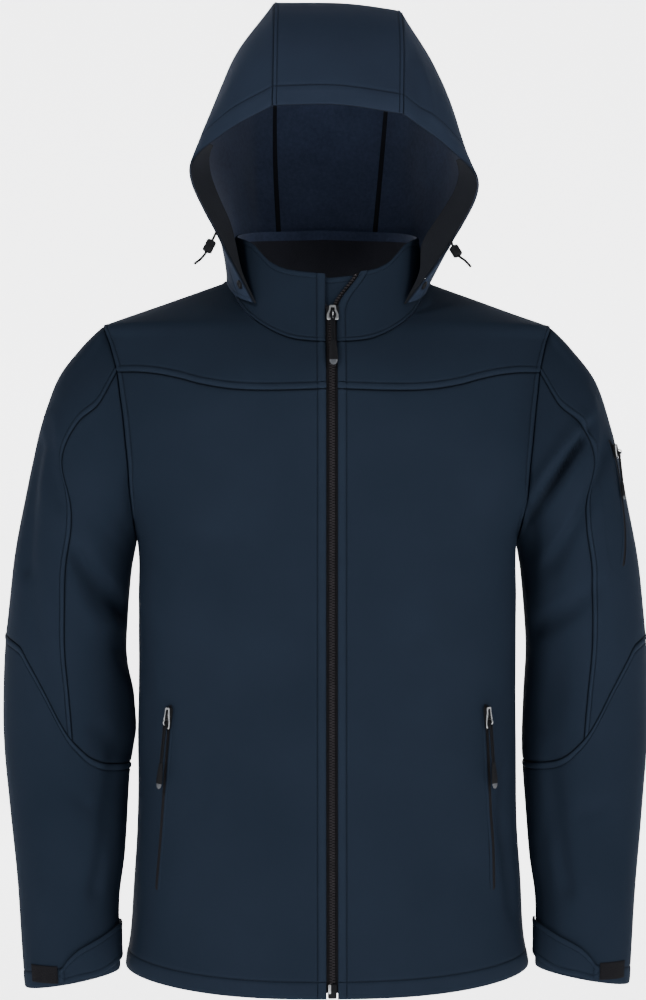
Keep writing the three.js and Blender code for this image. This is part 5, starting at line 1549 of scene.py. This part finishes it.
def add_bottom_box():
    foot = front_spot(BESIDE_CENTRE, ZIP_STOP_MIDDLE, 0)
    box = plate(rounded_box(*BOX_SIZE), -BOX_HALF, BOX_HALF, BOX_BEVEL)
    pin = plate(rounded_box(*PIN_SIZE), *PIN_DEPTHS)
    add_solid_piece("bottom_box", placed(box, foot), rubber, "zip_stop", "metal")
    add_solid_piece("bottom_pin", placed(pin, shifted(foot, **PIN_PLACE)), silver, None, "metal")


def add_front_zip():
    add_teeth()
    add_slider("zip", collar_spot(SLIDER_X, SLIDER_SHARE, FRONT_SLIDER["seat"]), FRONT_SLIDER)
    add_bottom_box()


def slider_outline(wide, narrow, tall, corner=1.6):
    """Slider as seen from outside: round shoulders at the top, drawn in at the foot"""
    right = [(narrow / 2 - 0.8, -tall / 2), (narrow / 2, -tall / 2 + 0.8), (narrow / 2 + 0.3, -tall * 0.2),
             (wide / 2, tall * 0.14)]
    for turn in np.linspace(0, 80, 5):
        x = wide / 2 - corner + corner * cosine(turn)
        right.append((x, tall / 2 - corner + corner * sine(turn)))
    notch = [(wide * 0.12, tall / 2 - 0.2), (wide * 0.07, tall / 2 - 1.8)]
    right += notch
    return right + [(-x, z) for x, z in right[::-1]]


def add_slider(prefix, head, size):
    """Dark slider with a silver frame and bridge, and a cord pull with a moulded end that hangs from it"""
    wide, narrow, tall, thick = (size[key] for key in ("wide", "narrow", "tall", "thick"))
    low = plate(slider_outline(wide, narrow, tall), 0, thick * BASE_PLATE_SHARE, SLIDER_BEVEL)
    core = plate(slider_outline(wide * CORE["wide"], narrow * CORE["wide"], tall * CORE["tall"]),
                 thick * CORE["low"], thick * CORE["high"], SLIDER_BEVEL)
    rail = plate(rounded_box(RAIL["wide"], tall * RAIL["tall"], RAIL["corner"]),
                 thick * RAIL["low"], thick * RAIL["high"], RAIL["bevel"])
    rails = [placed(rail, shifted(head, x=side * narrow * RAIL["across"])) for side in (-1, 1)]
    base = joined([placed(low, head), placed(core, head), *rails])
    add_solid_piece(f"{prefix}_slider_base", base, rubber, f"{prefix}_slider", "metal")
    outline = slider_outline(wide * RIM["wide"], narrow * RIM["narrow"], tall * RIM["tall"])
    top = window_frame([(x, -z) for x, z in outline], thick * RIM["low"], thick, RIM["bevel"],
                       wide * RIM["strip"])
    hinge_y = -thick - BRIDGE_CLEAR - size["plate"] / 2
    bright = joined([placed(top, head), placed(slider_bridge(size, hinge_y), head)])
    add_solid_piece(f"{prefix}_slider_frame", bright, silver, f"{prefix}_slider", "metal")
    add_pull(prefix, shifted(head, y=hinge_y, z=size["hinge"], lean=size["lean"]), size)


def slider_bridge(size, hinge_y):
    """Wire arch that the pull hangs from"""
    turns = np.linspace(-90, 90, 13)
    foot = -size["thick"] * 0.5
    arch = [(0, hinge_y - BRIDGE_RADIUS * cosine(t), size["hinge"] + BRIDGE_RADIUS * sine(t)) for t in turns]
    return tube([(0, foot, arch[0][2]), *arch, (0, foot, arch[-1][2])], BRIDGE_WIRE, 8)


def pull_cord(size):
    """Both legs of the cord loop, from the bridge into the moulded end"""
    cord, reach = size["cord"], size["stem"]
    spread = cord + CORD_SPREAD
    loop = []
    for side in (1, -1):
        leg = [(side * spread, 0, 0), (side * spread, 0, -1.2), (side * (spread - 0.1), 0, -3),
               (side * cord * 1.05, 0, -6), (side * cord * 1.02, 0, -reach * 0.5),
               (side * cord * 0.95, 0, -reach - 1.5)]
        loop += leg[::-1] if side > 0 else leg
    return tube(smooth_path(loop, 6), cord, 10)


def moulded_end(size, sections):
    deep = size["plate"] * GRIP_DEPTH
    return loft([pull_ring(size["end_wide"] * wide, deep * thick, -size["stem"] - (drop + size["end"] * share))
                 for drop, share, wide, thick in sections])


def grip_rib(size, z):
    width, deep = size["end_wide"], size["plate"] * GRIP_DEPTH
    edge = width * RIB_WIDE[0], RIB_EDGE + deep * RIB_DEEP[0]
    crest = width * RIB_WIDE[1], deep * RIB_DEEP[1]
    return loft([pull_ring(*edge, z), pull_ring(*crest, z - RIB_HALF), pull_ring(*edge, z - 2 * RIB_HALF)])


def add_pull(prefix, hang, size):
    ribs = [grip_rib(size, z) for z in -size["stem"] - size["end"] * np.array(RIB_PLACES)]
    shapes = {
        "cord": (pull_cord(size), black_cord),
        "grip": (joined([moulded_end(size, GRIP_SECTIONS), *ribs]), rubber),
        "tip": (moulded_end(size, TIP_SECTIONS), clear_grey),
    }
    for part, (shape, material) in shapes.items():
        add_solid_piece(f"{prefix}_pull_{part}", placed(shape, hang), material, f"{prefix}_pull", "pull",
                        f"{prefix}_pull_body")


def pull_ring(wide, deep, z, sides=20):
    """Flattened round section of a moulded pull"""
    turns = np.arange(sides) * 360 / sides
    return points(wide / 2 * power(cosine(turns), 0.7), deep / 2 * power(sine(turns), 0.7), z + 0 * turns)


def smooth_path(marks, steps):
    marks = np.array(marks, float)
    return along_points(marks, np.linspace(0, len(marks) - 1, (len(marks) - 1) * steps + 1))


def laid_strip(name, path, normals, profile, materials, slots, node, slot):
    """Strip along a path whose section is given by pairs of distance across and height"""
    along = np.gradient(path, axis=0)
    across = np.cross(along, normals)
    across /= np.linalg.norm(across, axis=1, keepdims=True)
    reach, height = np.array(profile, float).T
    rows = []
    for k, (p, a, n) in enumerate(zip(path, across, normals)):
        share = 0.05 if k in (0, len(path) - 1) else 1
        rows.append(p + a * reach[:, None] * (0.7 + 0.3 * share) + n * (height * share)[:, None])
    outer = np.array(rows)
    inner = outer - normals[:, None] * STRIP_THICK
    faces, layers = wall_faces(*outer.shape[:2])
    column = np.arange(len(faces)) % (len(reach) - 1)
    shown = np.where(layers == 0, np.array(slots)[column], 0)
    verts = np.concatenate([outer.reshape(-1, 3), inner.reshape(-1, 3)])
    piece = add_wall_mesh(name, verts, faces, materials, shown, np.zeros((len(verts), 3)))
    return dress(piece, node, slot)


def add_hand_pocket(skin, name, side):
    shares = np.linspace(0, 1, HAND_ZIP_POINTS)
    z = mix(POCKET_TOP_Z, POCKET_FOOT_Z, shares)
    x = side * mix(POCKET_TOP_X[name], POCKET_FOOT_X[name], shares)
    path = front_surface(x, z)
    normals = np.array([-front_spot(a, b, 0)[2] for a, b in zip(x, z)])
    zipped_slit(skin, f"pocket_zip_{name}", path, normals)
    place = (np.interp(HAND_SLIDER_SHARE, shares, line) for line in (x, z))
    head = spot_frame(front_surface, *place, (0, 0, -400), path[0] - path[4], HAND_SLIDER["seat"], FRONT_STEP)
    add_slider(f"pocket_{name}", head, HAND_SLIDER)


def add_sleeve_pocket(skin):
    rows = np.linspace(SLEEVE_ZIP["row"][0], SLEEVE_ZIP["row"][-1], SLEEVE_ZIP_POINTS)
    angles = look_up(SLEEVE_ZIP, "row", "angle", rows)
    path = sleeve_at_angle(angles, rows)
    normals = np.array([-spot_frame(sleeve_at_angle, a, r, SLEEVE_INSIDE, UPWARDS)[2]
                        for a, r in zip(angles, rows)])
    zipped_slit(skin, "sleeve_pocket_zip", path, normals)
    spot, out = path[SLEEVE_SLIDER_POINT], normals[SLEEVE_SLIDER_POINT]
    along = spot - path[SLEEVE_SLIDER_TOWARDS]
    along /= np.linalg.norm(along)
    level = out - along * np.dot(out, along)
    level /= np.linalg.norm(level)
    add_slider("sleeve_pocket", frame_from(spot + level * SLEEVE_SLIDER["seat"], level, along), SLEEVE_SLIDER)
    STITCHES.append(route_on_front(skin, SLEEVE_POCKET_STITCHES))


def add_pockets(skin):
    """Zipped hand pockets in both fronts and one on the left sleeve, each between two welts"""
    for name, side in (RIGHT, LEFT):
        add_hand_pocket(skin, name, side)
    add_sleeve_pocket(skin)


def zipped_slit(skin, node, path, normals):
    laid_strip(f"{node}_welts", settled(skin, path, normals), normals, WELT_PROFILE, [softshell, tape],
               WELT_SLOTS, node, "zip_tape")


def sleeve_at_angle(angle, row, side=1):
    return sleeve_point(base_of_angle(angle, row), row, side)


def cuff_spot(angle, z, side):
    folded = np.where(angle > 180, angle - 360, angle)
    base = base_of_angle(folded, CUFF_READ_ROW + 0 * folded)
    return sleeve_point(base, row_at_height(base, lambda _: z), side)


def tab_surface(u, v, side):
    angle = mix(CUFF_TAB["angle"][0], CUFF_TAB["angle"][-1], u)
    low, high = (look_up(CUFF_TAB, "angle", key, angle) for key in ("low", "high"))
    return cuff_spot(angle, mix(low, high, v), side)


def patch_surface(u, v, side):
    return cuff_spot(mix(*PATCH_ANGLES, u), mix(*PATCH_HEIGHTS, v), side)


def add_cuffs():
    """Adjusting tab and hook patch on each cuff"""
    for name, side in (RIGHT, LEFT):
        inside = (side * 257, -36, -690)
        add_panel(f"cuff_tab_{name}", partial(tab_surface, side=side), (0, 1, 0, 1), borders("edge"),
                  inside=inside, **TAB)
        add_panel(f"cuff_patch_{name}", partial(patch_surface, side=side), (0, 1, 0, 1), borders("plain"),
                  [hook_tape], inside=inside, **PATCH)


def add_studs():
    """Press studs near the front tips of the hood"""
    verts, faces = lathe(STUD_PROFILE)
    turned = np.stack([verts[:, 0], -verts[:, 2], verts[:, 1]], axis=-1)
    for name, side in (RIGHT, LEFT):
        axes = spot_frame(partial(hood_side_surface, side=side), *STUD_PLACE, HOOD_MIDDLE, UPWARDS, STUD_LIFT)
        add_solid_piece(f"stud_{name}", placed((turned, faces), axes), rubber, f"hood_stud_{name}", "hard_trim")


def add_elastic(name, path):
    curve = bpy.data.curves.new(f"cord_{name}", "CURVE")
    curve.dimensions = "3D"
    curve.bevel_depth = CORD_RADIUS * MM
    curve.bevel_resolution = CORD_SIDES
    curve.use_fill_caps = True
    line = curve.splines.new("POLY")
    line.points.add(len(path) - 1)
    for point, place in zip(line.points, path * MM):
        point.co = (*place, 1)
    curve.materials.append(black_cord)
    return dress(new_object(f"elastic_{name}", curve), f"hood_cord_{name}", "cord")


def add_lock(name, low, high):
    """Barrel lock between two places on the cord: a turned wall with a waist"""
    along = high - low
    long, wide = np.linalg.norm(along), LOCK_RADIUS
    profile = [(LOCK_HOLE, 0), (wide - 1.2, 0), (wide - 0.4, 0.4), (wide, 1.3), (wide, long * 0.44),
               (wide - 0.5, long * 0.48), (wide - 0.5, long * 0.52), (wide, long * 0.56), (wide, long - 1.3),
               (wide - 0.4, long - 0.4), (wide - 1.2, long), (LOCK_HOLE, long)]
    side = np.cross(along, (0, 1, 0))
    axes = frame_from(low, side / np.linalg.norm(side), along)
    return add_solid_piece(f"barrel_lock_{name}", placed(turned_tube(profile), axes), rubber,
                           f"hood_lock_{name}", "hard_trim")


def add_hood_cords():
    """Elastic cord out of each side of the hood, through its barrel lock"""
    for name, route in (("right", ROUTE_RIGHT), ("left", ROUTE_LEFT)):
        route = np.array(route, float)
        path = smooth_path(route, 12)
        cord = add_elastic(name, path)
        lock = add_lock(name, route[1], route[2])
        list(path[0] * MM)


def add_hood_bindings():
    """Bound seams inside the hood"""
    for side in (-1, 1):
        frames = [spot_frame(hood_centre_surface, side * BINDING_ACROSS, deep, (0, 20, 100), UPWARDS)
                  for deep in np.linspace(*BINDING_DEEP, BINDING_POINTS)]
        inward = np.array([axes[2] for axes in frames])
        path = np.array([axes[0] for axes in frames]) + inward * BINDING_LIFT
        laid_strip(f"hood_binding_{side}", path, inward, BINDING_PROFILE, [charcoal],
                   [0] * (len(BINDING_PROFILE) - 1), None, "hood_facing")


def add_camera():
    camera = new_object("camera", bpy.data.cameras.new("camera"))
    camera.data.sensor_fit = "VERTICAL"
    camera.data.sensor_height = SENSOR
    camera.data.lens = SENSOR * CAMERA_DISTANCE / VIEW_HEIGHT
    x = CAMERA_X - CAMERA_DISTANCE * math.sin(CAMERA_TURN)
    y = -CAMERA_DISTANCE * math.cos(CAMERA_TURN)
    camera.location = Vector((x, y, CAMERA_Z)) * MM
    camera.rotation_euler = (math.pi / 2, 0, -CAMERA_TURN)
    bpy.context.scene.camera = camera


def add_studio():
    """Pale floor that curves up into a backdrop, with soft lights"""
    profile = [(STUDIO_FRONT, FLOOR_Z), (STUDIO_BACK - STUDIO_CURVE, FLOOR_Z)]
    for k in range(1, STUDIO_BENDS + 1):
        turn = math.radians(90 * k / STUDIO_BENDS)
        y = STUDIO_BACK - STUDIO_CURVE + STUDIO_CURVE * math.sin(turn)
        profile.append((y, FLOOR_Z + STUDIO_CURVE * (1 - math.cos(turn))))
    profile.append((STUDIO_BACK, STUDIO_TOP))
    verts = [(x, y, z) for y, z in profile for x in (-STUDIO_HALF, STUDIO_HALF)]
    faces = [(2 * k, 2 * k + 1, 2 * k + 3, 2 * k + 2) for k in range(len(profile) - 1)]
    mesh = new_mesh("studio", np.array(verts) / MM, faces, [studio_paper()])
    smooth(mesh, STUDIO_CRISP)
    new_object("studio", mesh)
    world = bpy.data.worlds.new("studio_air")
    world.use_nodes = True
    sky = next(n for n in world.node_tree.nodes if n.type == "BACKGROUND")
    sky.inputs["Color"].default_value = WHITE
    sky.inputs["Strength"].default_value = AIR_GLOW
    bpy.context.scene.world = world
    for name, facts in LIGHTS.items():
        add_light(name, **facts)


def studio_paper():
    paint = Paint("studio_paper", Roughness=0.95, Emission_Strength=PAPER_GLOW)
    paint.feed("Emission Color", PALE)
    paint.feed("Base Color", paint.blend(paint.noise(paint.place(), 1.5), PALE, PAPER_SHADE))
    return paint.material


def add_light(name, place, size, power_watts):
    light = bpy.data.lights.new(name, "AREA")
    light.shape = "DISK"
    light.size = size
    light.energy = power_watts
    lamp = new_object(name, light)
    lamp.location = place
    lamp.rotation_euler = (Vector((0, 0, CAMERA_Z * MM)) - Vector(place)).to_track_quat("-Z", "Y").to_euler()


# Making

add_camera()
add_studio()

softshell = softshell_cloth("softshell", NAVY, NAVY_LIGHT)
# The hood's softshell is a lighter copy of the body's: painted light
hood_softshell = softshell_cloth("hood_softshell", PAINTED_LIT_HOOD_NAVY, PAINTED_LIT_HOOD_LIGHT)
fleece = fleece_cloth()
charcoal = plain_weave("charcoal_facing", CHARCOAL_DARK, CHARCOAL, 3.0)
black_lining = plain_weave("collar_lining", LINING_BLACK, LINING_LIGHT, 4.0)
tape = plain_weave("zip_tape", CORD_BLACK, TAPE_BLACK, 4.5, sheen=0.01)
hook_tape = hooks()
teeth_nylon = moulded("zip_teeth", CORD_BLACK, TEETH_BLACK, 0.45)
rubber = moulded("moulded_rubber", NEAR_BLACK, CORD_BLACK, 0.5)
clear_grey = moulded("clear_grey_tip", CLEAR_DARK, CLEAR_LIGHT, 0.35, coat=0.2)
silver = worn_metal("silver_plate", SILVER_DARK, SILVER)
black_cord = thread("black_cord", NEAR_BLACK, CORD_BLACK)
navy_thread = thread("navy_thread", NAVY, THREAD_NAVY)
SHELL = [softshell, fleece]
HOOD_SHELL = [hood_softshell, fleece]


def above_armpit(v):
    return (v > SKIRT_ROWS + 0.15).astype(float)


BODY_FOLDS = [(FRONT_CREASES, -1), (BACK_CREASES, 1)]


def add_body():
    for name, side in (RIGHT, LEFT):
        surface = partial(body_surface, side=side)
        add_panel(f"front_{name}", surface, (0, COLUMNS, 0, YOKE_ROW),
                  borders("under", start="placket", end="welt", first="hem"),
                  weights={"end": above_armpit}, creases=BODY_FOLDS)
        add_panel(f"yoke_{name}", surface, (0, COLUMNS, YOKE_ROW, TOP_ROW),
                  borders("welt", start="placket", last="under"), creases=BODY_FOLDS, step=3.2)
    add_panel("back", back_surface, (0, 2 * COLUMNS, 0, TOP_ROW), borders("welt", first="hem", last="under"),
              weights={"start": above_armpit, "end": above_armpit}, creases=BODY_FOLDS, step=4.9)


def add_sleeves():
    for name, side in (RIGHT, LEFT):
        upper = partial(upper_sleeve_surface, side=side)
        add_panel(f"sleeve_top_{name}", upper, (FRONT_SEAM_COLUMN, BACK_SEAM_COLUMN, 0, UPPER_SLEEVE_ROWS),
                  borders("under", start="welt", end="welt"), creases=BODY_FOLDS)
        add_panel(f"sleeve_under_{name}", upper,
                  (BACK_SEAM_COLUMN - SLEEVE_COLUMNS, FRONT_SEAM_COLUMN, 0, UPPER_SLEEVE_ROWS),
                  borders("under"), creases=BODY_FOLDS)
        add_panel(f"forearm_{name}", partial(forearm_surface, side=side), (0, SLEEVE_COLUMNS, 0, 1),
                  borders("under", first="welt", last="hem"), creases=BODY_FOLDS)


def add_collar():
    add_panel("collar", collar_surface, (0, COLLAR_COLUMNS, 0, 1),
              borders("placket", first="narrow", last="edge"), step=3.0, waves=0.4)


def add_hood():
    look = dict(materials=HOOD_SHELL, slot="hood_softshell", creases=[(HOOD_CREASES, -1)])
    add_panel("hood_centre", hood_centre_surface, (-1, 1, 0, 6),
              borders("narrow", first="brim", last="under"), **look)
    for name, side in (RIGHT, LEFT):
        add_panel(f"hood_side_{name}", partial(hood_side_surface, side=side), HOOD_SIDE_SPAN,
                  borders("under", end="edge", first="brim"), **look)


add_body()
add_sleeves()
add_collar()
add_hood()
add_inner_cloth()
add_front_zip()
add_cuffs()
add_pockets(outer_skin())
add_studs()
add_hood_cords()
add_hood_bindings()
add_stitches("topstitching", STITCHES, navy_thread)
